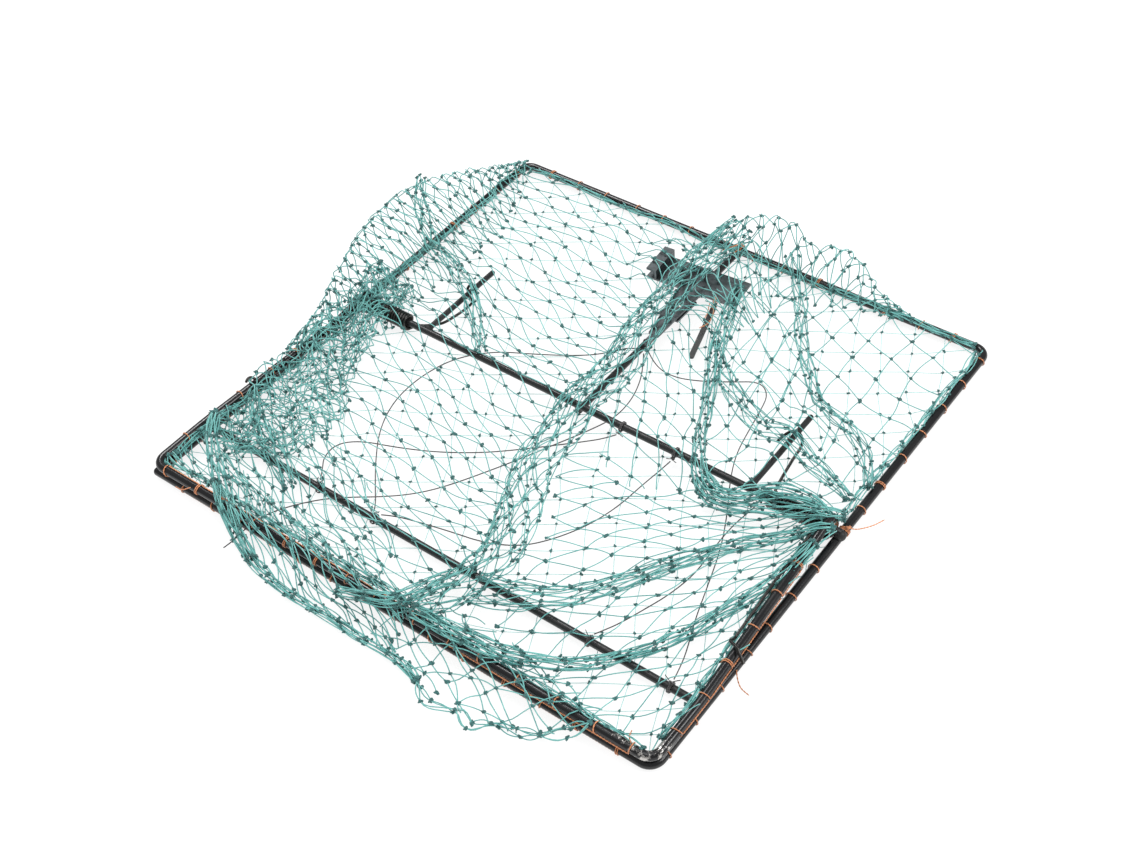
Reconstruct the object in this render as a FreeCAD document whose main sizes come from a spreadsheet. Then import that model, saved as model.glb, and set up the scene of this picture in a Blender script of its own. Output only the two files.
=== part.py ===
"""Folding clap-net trap: a square base frame and a spring-driven U-shaped flip frame on one axle.

Frame of the part: origin on the ground under the middle of the square, +X along the axle,
+Y towards the trigger side, +Z up. The flip frame is shown sprung, over the front half.
"""
import FreeCAD, Part
import math
import os

Vector = FreeCAD.Vector

SIZES = [
    ("side", 400, "outer width and depth of the base frame"),
    ("rod_d", 6, "frame rod"),
    ("bend", 8, "centre-line bend radius of the frame corners"),
    ("bar_d", 5, "axle, cross bar and centre rod"),
    ("lever_d", 4, "spring levers"),
    ("spring_d", 2, "spring wire"),
    ("twine_d", 0.9, "lashing twine"),
    ("thread_d", 0.8, "trip line"),
    ("base_z", 3.95, "height of the base rods' centre"),
    ("axle_z", 9.45, "height of the axle and hinge"),
    ("flip_z", 11.95, "height of the flip frame's centre"),
    ("bar_y", 148, "distance of the cross bar in front of the axle"),
    ("bar_z", 4.35, "height of the cross bar's centre"),
    ("spine_z", 4.4, "height of the centre rod's centre"),
    ("eye_x", 189.8, "distance of each hinge eye from the middle"),
    ("eye_gap", 0.1, "radial clearance of the eye on the axle"),
    ("coil_x", 183.2, "outer end of each spring coil"),
    ("coil_mean", 5.1, "mean radius of the spring coil"),
    ("coil_pitch", 2.3, "rise of the coil in one turn"),
    ("coil_turns", 15, "turns of each spring"),
    ("lever_x", 133, "distance of each spring lever from the middle"),
    ("lever_y", 74, "reach of the spring levers behind the axle"),
    ("wrap_pitch", 26.4, "distance between lashing wraps"),
    ("net_flat", 0.5, "thickness of the ground net"),
    ("net_shell", 0.8, "thickness of the upper net's stand-in"),
    ("pivot_y", 117, "trigger rivet behind the axle"),
    ("plate_t", 1.5, "trigger sheet"),
    ("plate_z", 9.3, "underside of the trigger plate"),
    ("head_half", 35, "half width of the trigger head"),
    ("head_front", 17, "front edge of the head behind the rivet"),
    ("head_back", 44, "back edge of the head behind the rivet"),
    ("arm_root", 9, "half width of the trigger arm at the head"),
    ("arm_end", 4, "half width of the trigger arm at its end"),
    ("arm_reach", 34, "reach of the trigger arm in front of the rivet"),
    ("nib_reach", 46, "reach of the nib in front of the rivet"),
    ("nib_half", 2, "half width of the nib"),
    ("lip_rise", 6, "rise of the catch lip over the head"),
    ("lip_width", 8, "width of the catch lip"),
    ("trigger_turn", 5, "angle of the sprung trigger, degrees"),
    ("rivet_r", 1.95, "rivet shank"),
    ("latch_len", 50, "latch stick"),
    ("latch_w", 3.6, "width of the latch stick"),
    ("latch_t", 2, "thickness of the latch stick"),
]

doc = FreeCAD.newDocument("clap_net_trap")
sheet = doc.addObject("Spreadsheet::Sheet", "Sheet")
for row, (alias, value, meaning) in enumerate(SIZES, start=1):
    sheet.set(f"A{row}", meaning)
    sheet.set(f"B{row}", str(value))
    sheet.setAlias(f"B{row}", alias)
doc.recompute()
SIZE = {alias: float(sheet.get(alias)) for alias, _, _ in SIZES}

HALF = (SIZE["side"] - SIZE["rod_d"]) / 2
ROD_R = SIZE["rod_d"] / 2
BAR_R = SIZE["bar_d"] / 2
LEVER_R = SIZE["lever_d"] / 2
WIRE_R = SIZE["spring_d"] / 2
THREAD_R = SIZE["thread_d"] / 2
HALF_CELL = "(Sheet.side - Sheet.rod_d) / 2"
TURNS = {
    "x": FreeCAD.Rotation(Vector(0, 1, 0), 90),
    "y": FreeCAD.Rotation(Vector(1, 0, 0), -90),
    "z": FreeCAD.Rotation(),
}
parts = {}


def add(name, obj):
    """Register a finished sub-part under its node name."""
    obj.Label = name
    parts[name] = obj
    return obj


def bind(obj, **cells):
    for prop, formula in cells.items():
        obj.setExpression(prop.replace("_", "."), str(formula))


def place(obj, x, y, z, axis="z"):
    """Turn the object's Z onto an axis, and bind its position to formulas."""
    obj.Placement = FreeCAD.Placement(Vector(), TURNS[axis])
    bind(obj, Placement_Base_x=x, Placement_Base_y=y, Placement_Base_z=z)
    return obj


def rod(name, radius, length, x, y, z, axis):
    """A straight round bar that starts at x, y, z and runs along the axis."""
    bar = doc.addObject("Part::Cylinder", name)
    bind(bar, Radius=radius, Height=length)
    return place(bar, x, y, z, axis)


def ball(name, radius, x, y, z):
    sphere = doc.addObject("Part::Sphere", name)
    bind(sphere, Radius=radius)
    return place(sphere, x, y, z)


def fuse(name, pieces):
    whole = doc.addObject("Part::MultiFuse", name)
    whole.Shapes = pieces
    return whole


def cut(name, base, tool):
    left = doc.addObject("Part::Cut", name)
    left.Base = base
    left.Tool = tool
    return left


def group(name, pieces):
    """Separate solids of one node."""
    whole = doc.addObject("Part::Compound", name)
    whole.Links = pieces
    return whole


def feature(name, shape):
    made = doc.addObject("Part::Feature", name)
    made.Shape = shape
    return made


def rounded_wire(points, bends):
    """Straight runs through the points, joined by tangent arcs of the given radii."""
    points = [Vector(*p) for p in points]
    if not isinstance(bends, (list, tuple)):
        bends = [bends] * (len(points) - 2)
    edges = []
    start = points[0]
    for before, corner, after, bend in zip(points, points[1:], points[2:], bends):
        into = (corner - before).normalize()
        out = (after - corner).normalize()
        turn = into.getAngle(out)
        reach = bend * math.tan(turn / 2)
        first = corner - into * reach
        last = corner + out * reach
        inward = (out - into).normalize()
        middle = corner + inward * (bend / math.cos(turn / 2) - bend)
        edges.append(Part.LineSegment(start, first).toShape())
        edges.append(Part.Arc(first, middle, last).toShape())
        start = last
    edges.append(Part.LineSegment(start, points[-1]).toShape())
    return Part.Wire(edges)


def sweep(path, radius):
    """A solid round wire along a path, checked against its section times its length."""
    first = path.OrderedEdges[0]
    at_start = first.FirstParameter if first.Orientation == "Forward" else first.LastParameter
    ring = Part.Wire(Part.makeCircle(radius, first.valueAt(at_start), first.tangentAt(at_start)))
    solid = path.makePipeShell([ring], True, False)
    wanted = math.pi * radius**2 * path.Length
    if abs(solid.Volume - wanted) > 0.02 * wanted:
        raise ValueError(f"a tube's volume is {solid.Volume:.1f}, not {wanted:.1f}")
    return solid


def tube(points, bends, radius):
    return sweep(rounded_wire(points, bends), radius)


def on_side(sign, points):
    """Points given for the right side, for either side."""
    return [(sign * x, y, z) for x, y, z in points]


def curl(x, radius, opening):
    """An arc round the axle that starts short of the top, passes under and ends at the top."""
    start, bottom, top = (
        Vector(x, radius * math.sin(angle), SIZE["axle_z"] + radius * math.cos(angle))
        for angle in map(math.radians, (-opening, 180, 0))
    )
    return Part.Arc(start, bottom, top).toShape()


# ---------------------------------------------------------------- base frame and its bars

def base_frame():
    """One rod bent at three corners. Its open front-left corner is a butt weld."""
    straight = f"{HALF_CELL} - Sheet.bend"
    span = f"2 * ({straight})"
    radius = "Sheet.rod_d / 2"
    low, high = f"-({HALF_CELL})", HALF_CELL
    open_end = f"{HALF_CELL} + {straight}"
    sides = [
        rod("base_front", radius, open_end, low, low, "Sheet.base_z", "x"),
        rod("base_right", radius, span, high, f"-({straight})", "Sheet.base_z", "y"),
        rod("base_back", radius, span, f"-({straight})", high, "Sheet.base_z", "x"),
        rod("base_left", radius, open_end, low, low, "Sheet.base_z", "y"),
        ball("base_open_end", radius, low, low, "Sheet.base_z"),
    ]
    for number, (x_sign, y_sign) in enumerate(((1, -1), (1, 1), (-1, 1))):
        corner = doc.addObject("Part::Torus", f"base_corner_{number + 1}")
        bind(corner, Radius1="Sheet.bend", Radius2=radius)
        corner.Angle3 = 90
        turned = FreeCAD.Rotation(Vector(0, 0, 1), (number - 1) * 90)
        corner.Placement = FreeCAD.Placement(Vector(), turned)
        bind(
            corner,
            Placement_Base_x=f"{x_sign} * ({straight})",
            Placement_Base_y=f"{y_sign} * ({straight})",
            Placement_Base_z="Sheet.base_z",
        )
        sides.append(corner)
    return add("base_frame", fuse("base_frame_solid", sides))


def bars():
    """The straight bars that are welded into the base frame."""
    bar_r = "Sheet.bar_d / 2"
    lever_r = "Sheet.lever_d / 2"
    inner = f"({HALF_CELL} - Sheet.rod_d / 2)"
    reach = "(Sheet.side / 2 - 1)"
    add("axle_rod", rod("axle", bar_r, f"2 * {reach}", f"-{reach}", "0", "Sheet.axle_z", "x"))
    add("cross_bar", rod("bar", bar_r, f"2 * {inner}", f"-{inner}", "-Sheet.bar_y", "Sheet.bar_z", "x"))
    add("centre_rod", rod("spine", bar_r, inner, "0", "0", "Sheet.spine_z", "y"))
    levers = {}
    for side, sign in (("left", "-"), ("right", "")):
        x = f"{sign}Sheet.lever_x"
        root = "Sheet.bar_d / 2"
        stem = rod(f"{side}_stem", lever_r, f"Sheet.lever_y - {root}", x, root, "Sheet.axle_z", "y")
        tip = ball(f"{side}_tip", lever_r, x, "Sheet.lever_y", "Sheet.axle_z")
        levers[side] = add(f"{side}_lever", fuse(f"{side}_lever_solid", [stem, tip]))
    return levers


def welds(levers):
    """Beads of weld metal: balls at each joint with the rods cut out of them."""
    rods = {name: parts[name] for name in ("base_frame", "axle_rod", "cross_bar", "centre_rod")}
    end_x = f"({HALF_CELL} + 1)"
    inner = f"({HALF_CELL} - Sheet.rod_d / 2 - 1.2)"
    joints = {
        "axle_welds": [
            ("3.9", f"{sign}{end_x}", "0", "Sheet.axle_z - 2.5", ("axle_rod", "base_frame"))
            for sign in ("-", "")
        ],
        "cross_bar_welds": [
            ("3.3", f"{sign}{inner}", "-Sheet.bar_y", "Sheet.bar_z", ("cross_bar", "base_frame"))
            for sign in ("-", "")
        ],
        "centre_rod_welds": [
            ("3.6", "0", "1.6", "Sheet.spine_z + 2.2", ("centre_rod", "axle_rod")),
            ("3.4", "0", inner, "Sheet.spine_z", ("centre_rod", "base_frame")),
        ],
    }
    for name, beads in joints.items():
        made = []
        for number, (radius, x, y, z, tools) in enumerate(beads, start=1):
            bead = ball(f"{name}_ball_{number}", radius, x, y, z)
            for tool in tools:
                bead = cut(f"{name}_{number}_{tool}", bead, rods[tool])
            made.append(bead)
        add(name, group(f"{name}_group", made))
    made = []
    for side, sign in (("left", "-"), ("right", "")):
        bead = ball(f"{side}_lever_ball", "3.3", f"{sign}Sheet.lever_x", "2.4", "Sheet.axle_z")
        bead = cut(f"{side}_lever_bead_axle", bead, rods["axle_rod"])
        made.append(cut(f"{side}_lever_bead", bead, levers[side]))
    add("lever_welds", group("lever_welds_group", made))


def washers():
    """A flat washer each side, between the hinge eye and the side rod."""
    made = []
    for side, sign in (("left", -1), ("right", 1)):
        x = f"{sign} * (Sheet.eye_x + Sheet.rod_d / 2 + {0.2 if sign > 0 else 1.0})"
        disc = rod(f"{side}_washer_disc", "Sheet.bar_d / 2 + 3", "0.8", x, "0", "Sheet.axle_z", "x")
        hole = rod(f"{side}_washer_hole", "Sheet.bar_d / 2 + 0.05", "0.8", x, "0", "Sheet.axle_z", "x")
        made.append(cut(f"{side}_washer", disc, hole))
    return add("axle_washers", group("axle_washers_group", made))


# ---------------------------------------------------------------- springs

def spring_coil(sign):
    """A close-wound coil on the axle, and a back leg that hooks over the lever."""
    mean, pitch, turns = SIZE["coil_mean"], SIZE["coil_pitch"], SIZE["coil_turns"]
    axle_z = SIZE["axle_z"]
    helix = Part.makeHelix(pitch, pitch * turns, mean, 0, sign > 0)
    ring = Part.Wire(Part.makeCircle(WIRE_R, Vector(mean, 0, 0), Vector(0, 1, 0)))
    coil = Part.Wire(helix.Edges).makePipeShell([ring], True, True)
    onto_axle = FreeCAD.Rotation(Vector(0, 0, -1), Vector(0, -sign, 0), Vector(-sign, 0, 0), "ZXY")
    coil.Placement = FreeCAD.Placement(Vector(sign * SIZE["coil_x"], 0, axle_z), onto_axle)
    inner_x = SIZE["coil_x"] - pitch * turns
    lever_x, hook_y = SIZE["lever_x"], 50
    leg = [
        (inner_x, 0.3, axle_z - mean),
        (inner_x - 1, 12, axle_z - mean),
        (lever_x + 4.6, 38, axle_z - 3.6),
        (lever_x + 3.6, hook_y - 4, axle_z + 0.4),
        (lever_x + 0.6, hook_y, axle_z + 4.0),
        (lever_x - 4.2, hook_y + 2, axle_z + 2.4),
        (lever_x - 4.6, hook_y + 3, axle_z - 2.5),
    ]
    back_leg = tube(on_side(sign, leg), [6, 10, 2.5, 2, 1.8], WIRE_R)
    return Part.makeCompound([coil, back_leg])


def spring_leg(sign):
    """The end turn that swings with the flip frame, and the front leg that hooks over the arm."""
    mean, axle_z, flip_z = SIZE["coil_mean"], SIZE["axle_z"], SIZE["flip_z"]
    x = SIZE["coil_x"] + 2.2
    leg = [
        (x, 0, axle_z + mean),
        (x + 0.8, -50, flip_z + 1.2),
        (189.2, -104, flip_z + 0.3),
        (189.6, -110, flip_z + 4.9),
        (195.5, -112, flip_z + 6.2),
        (203.2, -116.5, flip_z + 0.6),
    ]
    outline = rounded_wire(on_side(sign, leg), [40, 3.0, 2.9, 3.2])
    turn = curl(sign * x, mean, 60)
    return sweep(Part.Wire([turn] + outline.OrderedEdges), WIRE_R)


def springs():
    for side, sign in (("left", -1), ("right", 1)):
        add(f"{side}_spring_coil", feature(f"{side}_coil", spring_coil(sign)))
        add(f"{side}_spring_leg", feature(f"{side}_leg", spring_leg(sign)))


# ---------------------------------------------------------------- flip frame

EYE_OPENING = 100


def flip_frame():
    """A U of bent rod. Each arm ends in an eye that is curled round the axle."""
    eye_mean = BAR_R + SIZE["eye_gap"] + ROD_R
    eye_x, flip_z, axle_z = SIZE["eye_x"], SIZE["flip_z"], SIZE["axle_z"]
    arm = [
        (eye_x, 0, axle_z + eye_mean),
        (eye_x, -7, axle_z + eye_mean - 0.3),
        (eye_x + 0.6, -30, flip_z),
        (HALF, -152, flip_z),
        (HALF, -HALF, flip_z),
    ]
    across = [(-x, y, z) for x, y, z in reversed(arm)]
    bends = [14, 30, 120, SIZE["bend"]]
    bends += bends[::-1]
    outline = rounded_wire(arm + across, bends)
    eye = curl(eye_x, eye_mean, EYE_OPENING)
    other_eye = curl(-eye_x, eye_mean, EYE_OPENING)
    other_eye.reverse()
    body = sweep(Part.Wire([eye] + outline.OrderedEdges + [other_eye]), ROD_R)
    return add("flip_frame", feature("flip_frame_solid", body))


# ---------------------------------------------------------------- lashing

def wrap(x, y, z, along):
    """One turn of twine round a frame rod."""
    twine_r = SIZE["twine_d"] / 2
    return Part.makeTorus(ROD_R + twine_r + 0.02, twine_r, Vector(x, y, z), Vector(*along))


def arm_x(y):
    """Centre of the flip frame's arm at a depth y, where it splays out to the full width."""
    splay = min(max((-y - 30) / 122, 0), 1)
    return SIZE["eye_x"] + 0.6 + splay * (HALF - SIZE["eye_x"] - 0.6)


def lashing():
    """Wraps of twine that tie the nets to the rods, at an even pitch on every side."""
    pitch = SIZE["wrap_pitch"]
    along_x, along_y = (1, 0, 0), (0, 1, 0)
    base_z, flip_z = SIZE["base_z"], SIZE["flip_z"]
    base, flip = [], []
    for step in range(1, 8):
        for x in (-HALF, HALF):
            base.append(wrap(x, step * pitch, base_z, along_y))
            base.append(wrap(x, -step * pitch, base_z, along_y))
    for step in range(1, 7):
        y = -(step + 0.5) * pitch
        for sign in (-1, 1):
            flip.append(wrap(sign * arm_x(y), y, flip_z, along_y))
    for step in range(-7, 8):
        flip.append(wrap(step * pitch, -HALF, flip_z, along_x))
        if step < 7:
            base.append(wrap((step + 0.5) * pitch, -HALF, base_z, along_x))
            base.append(wrap((step + 0.5) * pitch, HALF, base_z, along_x))
    add("base_lashing", feature("base_wraps", Part.makeCompound(base)))
    add("flip_lashing", feature("flip_wraps", Part.makeCompound(flip)))


# ---------------------------------------------------------------- sheet-metal trigger and latch

def origin_plane(body, role):
    return [item for item in body.Origin.OriginFeatures if item.Role == role][0]


def polygon(body, name, role, corners, height=None):
    """A closed sketch whose corners are bound to formulas."""
    sketch = body.newObject("Sketcher::SketchObject", name)
    sketch.AttachmentSupport = [(origin_plane(body, role), "")]
    sketch.MapMode = "FlatFace"
    if height is not None:
        sketch.setExpression("AttachmentOffset.Base.z", height)
    points = [Vector(*(float(sheet.evalExpression(f)) for f in corner), 0) for corner in corners]
    count = len(points)
    for number in range(count):
        sketch.addGeometry(Part.LineSegment(points[number], points[(number + 1) % count]), False)
    import Sketcher
    for number in range(count):
        sketch.addConstraint(Sketcher.Constraint("Coincident", number, 2, (number + 1) % count, 1))
    for number, (point, corner) in enumerate(zip(points, corners)):
        for kind, value, formula in (("DistanceX", point.x, corner[0]), ("DistanceY", point.y, corner[1])):
            if abs(value) < 1e-9:
                raise ValueError("a corner on an axis can't be dimensioned")
            index = sketch.addConstraint(Sketcher.Constraint(kind, -1, 1, number, 1, value))
            sketch.setExpression(f"Constraints[{index}]", formula)
    return sketch


def pad(body, name, sketch, length):
    made = body.newObject("PartDesign::Pad", name)
    made.Profile = sketch
    made.setExpression("Length", length)
    return made


def hole_through(body, name, radius, x, y):
    """A round hole along Z through the whole body, at a point off both axes of the sketch."""
    import Sketcher
    sketch = body.newObject("Sketcher::SketchObject", f"{name}_sketch")
    sketch.AttachmentSupport = [(origin_plane(body, "XY_Plane"), "")]
    sketch.MapMode = "FlatFace"
    centre = Vector(*(float(sheet.evalExpression(f)) for f in (x, y)), 0)
    size = float(sheet.evalExpression(radius))
    sketch.addGeometry(Part.Circle(centre, Vector(0, 0, 1), size), False)
    index = sketch.addConstraint(Sketcher.Constraint("Radius", 0, size))
    sketch.setExpression(f"Constraints[{index}]", radius)
    for kind, value, formula in (("DistanceX", centre.x, x), ("DistanceY", centre.y, y)):
        if abs(value) < 1e-9:
            sketch.addConstraint(Sketcher.Constraint("PointOnObject", 0, 3, -2 if kind == "DistanceX" else -1))
        else:
            index = sketch.addConstraint(Sketcher.Constraint(kind, -1, 1, 0, 3, value))
            sketch.setExpression(f"Constraints[{index}]", formula)
    before = body.Tip.Shape.Volume
    pocket = body.newObject("PartDesign::Pocket", name)
    pocket.Profile = sketch
    pocket.Type = "ThroughAll"
    pocket.Midplane = True
    doc.recompute()
    if not before - pocket.Shape.Volume > 0:
        raise ValueError(f"{name} cuts nothing")
    return pocket


def trigger_plate():
    """T-shaped sheet: a wide head with a raised catch lip, and a tapered arm that ends in a nib."""
    body = doc.addObject("PartDesign::Body", "trigger_body")
    head, front, back = "Sheet.head_half", "Sheet.head_front", "Sheet.head_back"
    outline = [
        (f"-{head}", front), ("-Sheet.arm_root", front), ("-Sheet.arm_end", "-Sheet.arm_reach"),
        ("-Sheet.nib_half", "-Sheet.arm_reach - 1"), ("-Sheet.nib_half", "-Sheet.nib_reach"),
        ("Sheet.nib_half", "-Sheet.nib_reach"), ("Sheet.nib_half", "-Sheet.arm_reach - 1"),
        ("Sheet.arm_end", "-Sheet.arm_reach"), ("Sheet.arm_root", front), (head, front),
        (head, back), (f"-{head}", back),
    ]
    pad(body, "plate", polygon(body, "plate_outline", "XY_Plane", outline), "Sheet.plate_t")
    web = f"-{head} + Sheet.lip_width"
    upright = [(f"{web} - Sheet.plate_t", front), (web, front), (web, back), (f"{web} - Sheet.plate_t", back)]
    pad(body, "web", polygon(body, "web_outline", "XY_Plane", upright), "Sheet.plate_t + Sheet.lip_rise")
    lip = [(f"-{head}", front), (web, front), (web, back), (f"-{head}", back)]
    lip_z = "Sheet.plate_t + Sheet.lip_rise"
    pad(body, "lip", polygon(body, "lip_outline", "XY_Plane", lip, lip_z), "Sheet.plate_t")
    doc.recompute()
    hole_through(body, "rivet_hole", "Sheet.rivet_r + 0.1", "0", "0")
    hole_through(body, "tie_hole", "1.2", "20", f"{front} + 3")
    turned = FreeCAD.Rotation(Vector(0, 0, 1), SIZE["trigger_turn"])
    body.Placement = FreeCAD.Placement(Vector(0, SIZE["pivot_y"], SIZE["plate_z"]), turned)
    return add("trigger_plate", body)


def trigger_mounting():
    """The saddle on the centre rod, the spacer under the plate, and the rivet."""
    saddle_top = "(Sheet.spine_z + Sheet.bar_d / 2 + 1.5)"
    saddle = doc.addObject("Part::Box", "saddle")
    bind(saddle, Length="16", Width="24", Height="1.5")
    place(saddle, "-8", "Sheet.pivot_y - 12", "Sheet.spine_z + Sheet.bar_d / 2")
    add("trigger_saddle", saddle)
    spacer = rod("spacer_disc", "4.5", "0.75", "0", "Sheet.pivot_y", saddle_top, "z")
    bore = rod("spacer_bore", "Sheet.rivet_r + 0.05", "0.75", "0", "Sheet.pivot_y", saddle_top, "z")
    add("trigger_spacer", cut("spacer", spacer, bore))
    head_z = "(Sheet.plate_z + Sheet.plate_t + 0.2)"
    shank = rod("rivet_shank", "Sheet.rivet_r", f"{head_z} - {saddle_top}", "0", "Sheet.pivot_y", saddle_top, "z")
    dome = ball("rivet_ball", "4", "0", "Sheet.pivot_y", f"{head_z} - 2.2")
    above = rod("rivet_room", "6", "6", "0", "Sheet.pivot_y", head_z, "z")
    head = doc.addObject("Part::Common", "rivet_head")
    head.Base, head.Tool = dome, above
    add("trigger_rivet", fuse("rivet", [shank, head]))


LATCH_TOP = (21.5, 129.0, 8.2)
LATCH_HEADING = -75.6


def latch_stick():
    """A flat stick with rounded ends and a tie hole near its top end."""
    body = doc.addObject("PartDesign::Body", "latch_body")
    half = "Sheet.latch_w / 2"
    bar = [("-3", f"-{half}"), ("Sheet.latch_len - 3", f"-{half}"), ("Sheet.latch_len - 3", half), ("-3", half)]
    pad(body, "stick", polygon(body, "stick_outline", "XY_Plane", bar), "Sheet.latch_t")
    doc.recompute()
    hole_through(body, "stick_hole", "0.9", "0", "0")
    stick = body.Tip
    corners = [
        f"Edge{number}" for number, edge in enumerate(stick.Shape.Edges, start=1)
        if edge.BoundBox.XLength < 1e-6 and edge.BoundBox.YLength < 1e-6
        and abs(edge.CenterOfMass.y) > SIZE["latch_w"] / 2 - 1e-6
    ]
    rounded = body.newObject("PartDesign::Fillet", "stick_ends")
    rounded.Base = (stick, corners)
    rounded.Radius = 1.6
    heading = FreeCAD.Rotation(Vector(0, 0, 1), LATCH_HEADING)
    dip = FreeCAD.Rotation(Vector(0, 1, 0), 6)
    low = Vector(LATCH_TOP[0], LATCH_TOP[1], LATCH_TOP[2] - SIZE["latch_t"] / 2)
    body.Placement = FreeCAD.Placement(low, heading * dip)
    return add("latch_stick", body)


def ties():
    """Thread loops: latch to trigger, trip lines to the nib and to the cross bar, and the back knot."""
    turn = math.radians(SIZE["trigger_turn"])
    reach = SIZE["nib_reach"] - 3
    nib = Vector(reach * math.sin(turn), SIZE["pivot_y"] - reach * math.cos(turn), SIZE["plate_z"] + SIZE["plate_t"] / 2)
    along = Vector(math.sin(turn), -math.cos(turn), 0)
    add("nib_tie", feature("nib_loop", Part.makeTorus(2.75, THREAD_R, nib, along)))
    loop = Part.makeTorus(5.3, SIZE["thread_d"] / 2, Vector(19.85, 133.85, 8.2), Vector(0.95, 0.32, 0))
    add("latch_tie", feature("latch_loop", loop))
    bar_ring = BAR_R + THREAD_R + 0.03
    on_bar = [Vector(x, -SIZE["bar_y"], SIZE["bar_z"]) for x in (-97, -50, 118, 175)]
    on_axle = [Vector(x, 0, SIZE["axle_z"]) for x in (36, 78, 143.5)]
    made = []
    for centre, lean in [(c, Vector(0, 0, 1)) for c in on_bar] + [(c, Vector(0, -0.85, -0.53)) for c in on_axle]:
        ring = Part.makeTorus(bar_ring, THREAD_R, centre, Vector(1, 0, 0))
        knot = Part.makeSphere(1.5, centre + lean * (bar_ring + 1.3))
        made.append(ring.fuse(knot))
    add("trip_line_knots", feature("bar_knots", Part.makeCompound(made)))
    ring = wrap(6.5, HALF, SIZE["base_z"], (1, 0, 0))
    knot = Part.makeSphere(2.2, Vector(6.5, HALF - 1.5, SIZE["base_z"] + ROD_R + 2.4))
    add("back_knot", feature("back_knot_solid", ring.fuse(knot)))


# ---------------------------------------------------------------- trip lines

TRIP_LINES = {
    "trip_line_1": [
        (9.6, 67.8, 8.6), (18, 62.5, 5.0), (33, 62, 2.4), (50, 69, 1.8), (68, 80, 1.8), (84, 91, 1.8),
        (95, 84, 1.8), (99, 68, 1.9), (103, 46, 2.6), (108, 24, 4.0), (117, 3, 4.1), (130, -20, 2.5),
        (142, -46, 1.8), (151, -74, 1.8), (159, -100, 1.8), (168, -122, 2.4), (172.5, -137, 5.0),
        (174.6, -144.2, 7.6),
    ],
    "trip_line_2": [
        (3.4, 67.6, 8.6), (-4.5, 65.5, 8.0), (-12.5, 60, 5.0), (-25, 50, 2.4), (-42, 39, 1.9),
        (-62, 27, 2.6), (-84, 14, 4.0), (-103, -7, 4.0), (-112, -33, 2.4), (-112, -60, 1.8),
        (-102, -86, 1.8), (-84, -110, 1.8), (-66, -130, 2.8), (-57, -139, 5.4), (-52.4, -145.2, 7.8),
    ],
    "trip_line_3": [
        (6.8, 65.4, 8.0), (11.5, 58, 5.2), (17.5, 46, 2.9), (23, 28, 3.2), (24, 8, 4.1), (17, -10, 4.0),
        (6, -31, 3.3), (-8, -57, 1.9), (-22, -83, 1.8), (-34, -104, 2.2), (-45, -120, 4.2),
        (-58, -134, 7.0), (-72, -144.5, 7.9), (-87, -156, 7.4), (-99, -170, 7.2), (-107, -184, 7.7),
        (-110, -196, 8.0), (-111.5, -203.5, 6.0), (-113.5, -210.5, 2.6), (-116, -217.5, 0.9),
    ],
    "trip_line_4": [
        (35, -5.8, 6.2), (29, -11, 3.6), (18, -20, 2.0), (4, -33, 1.8), (-12, -48, 1.8), (-32, -65, 1.8),
        (-57, -81, 2.0), (-81, -93, 3.2), (-104, -101, 3.0), (-117, -111, 1.8), (-116, -125, 2.4),
        (-106.5, -136, 4.6), (-99.5, -144.5, 7.6),
    ],
    "trip_line_5": [
        (77.6, -5.9, 6.2), (75, -14, 3.2), (72, -30, 1.9), (70, -52, 1.8), (64, -74, 1.8), (54, -94, 1.8),
        (40, -112, 1.8), (19, -123, 1.8), (-6, -128, 1.8), (-27, -134, 3.0), (-40, -140, 6.0),
        (-46.2, -145.4, 8.2),
    ],
    "trip_line_6": [
        (119.0, -144.4, 8.0), (120.5, -138, 5.4), (124, -127, 2.6), (129, -112, 1.8), (136, -92, 1.9),
        (140, -70, 2.2), (138.5, -47, 3.2), (138.5, -28, 3.6), (141, -14, 4.4), (143.2, -6.2, 6.4),
    ],
}


def cord_bends(points):
    """Each arc takes 0.45 of the shorter run beside its corner."""
    bends = []
    points = [Vector(*p) for p in points]
    for before, corner, after in zip(points, points[1:], points[2:]):
        turn = (corner - before).getAngle(after - corner)
        shorter = min((corner - before).Length, (after - corner).Length)
        bends.append(0.45 * shorter / math.tan(turn / 2))
    return bends


def trip_lines():
    for name, points in TRIP_LINES.items():
        bends = cord_bends(points)
        length = rounded_wire(points, bends).Length
        print(f"{name}: {length:.0f} mm, tightest bend {min(bends):.1f} mm")
        add(name, feature(f"{name}_solid", tube(points, bends, THREAD_R)))


# ---------------------------------------------------------------- nets

def band(body, name, role, line, length):
    """A draped sheet: a line of corners, given thickness, and padded to both sides of a plane."""
    below = [(u, f"{v} - Sheet.net_shell") for u, v in reversed(line)]
    sheet_pad = pad(body, name, polygon(body, f"{name}_line", role, line + below), length)
    sheet_pad.Midplane = True
    return sheet_pad


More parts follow.
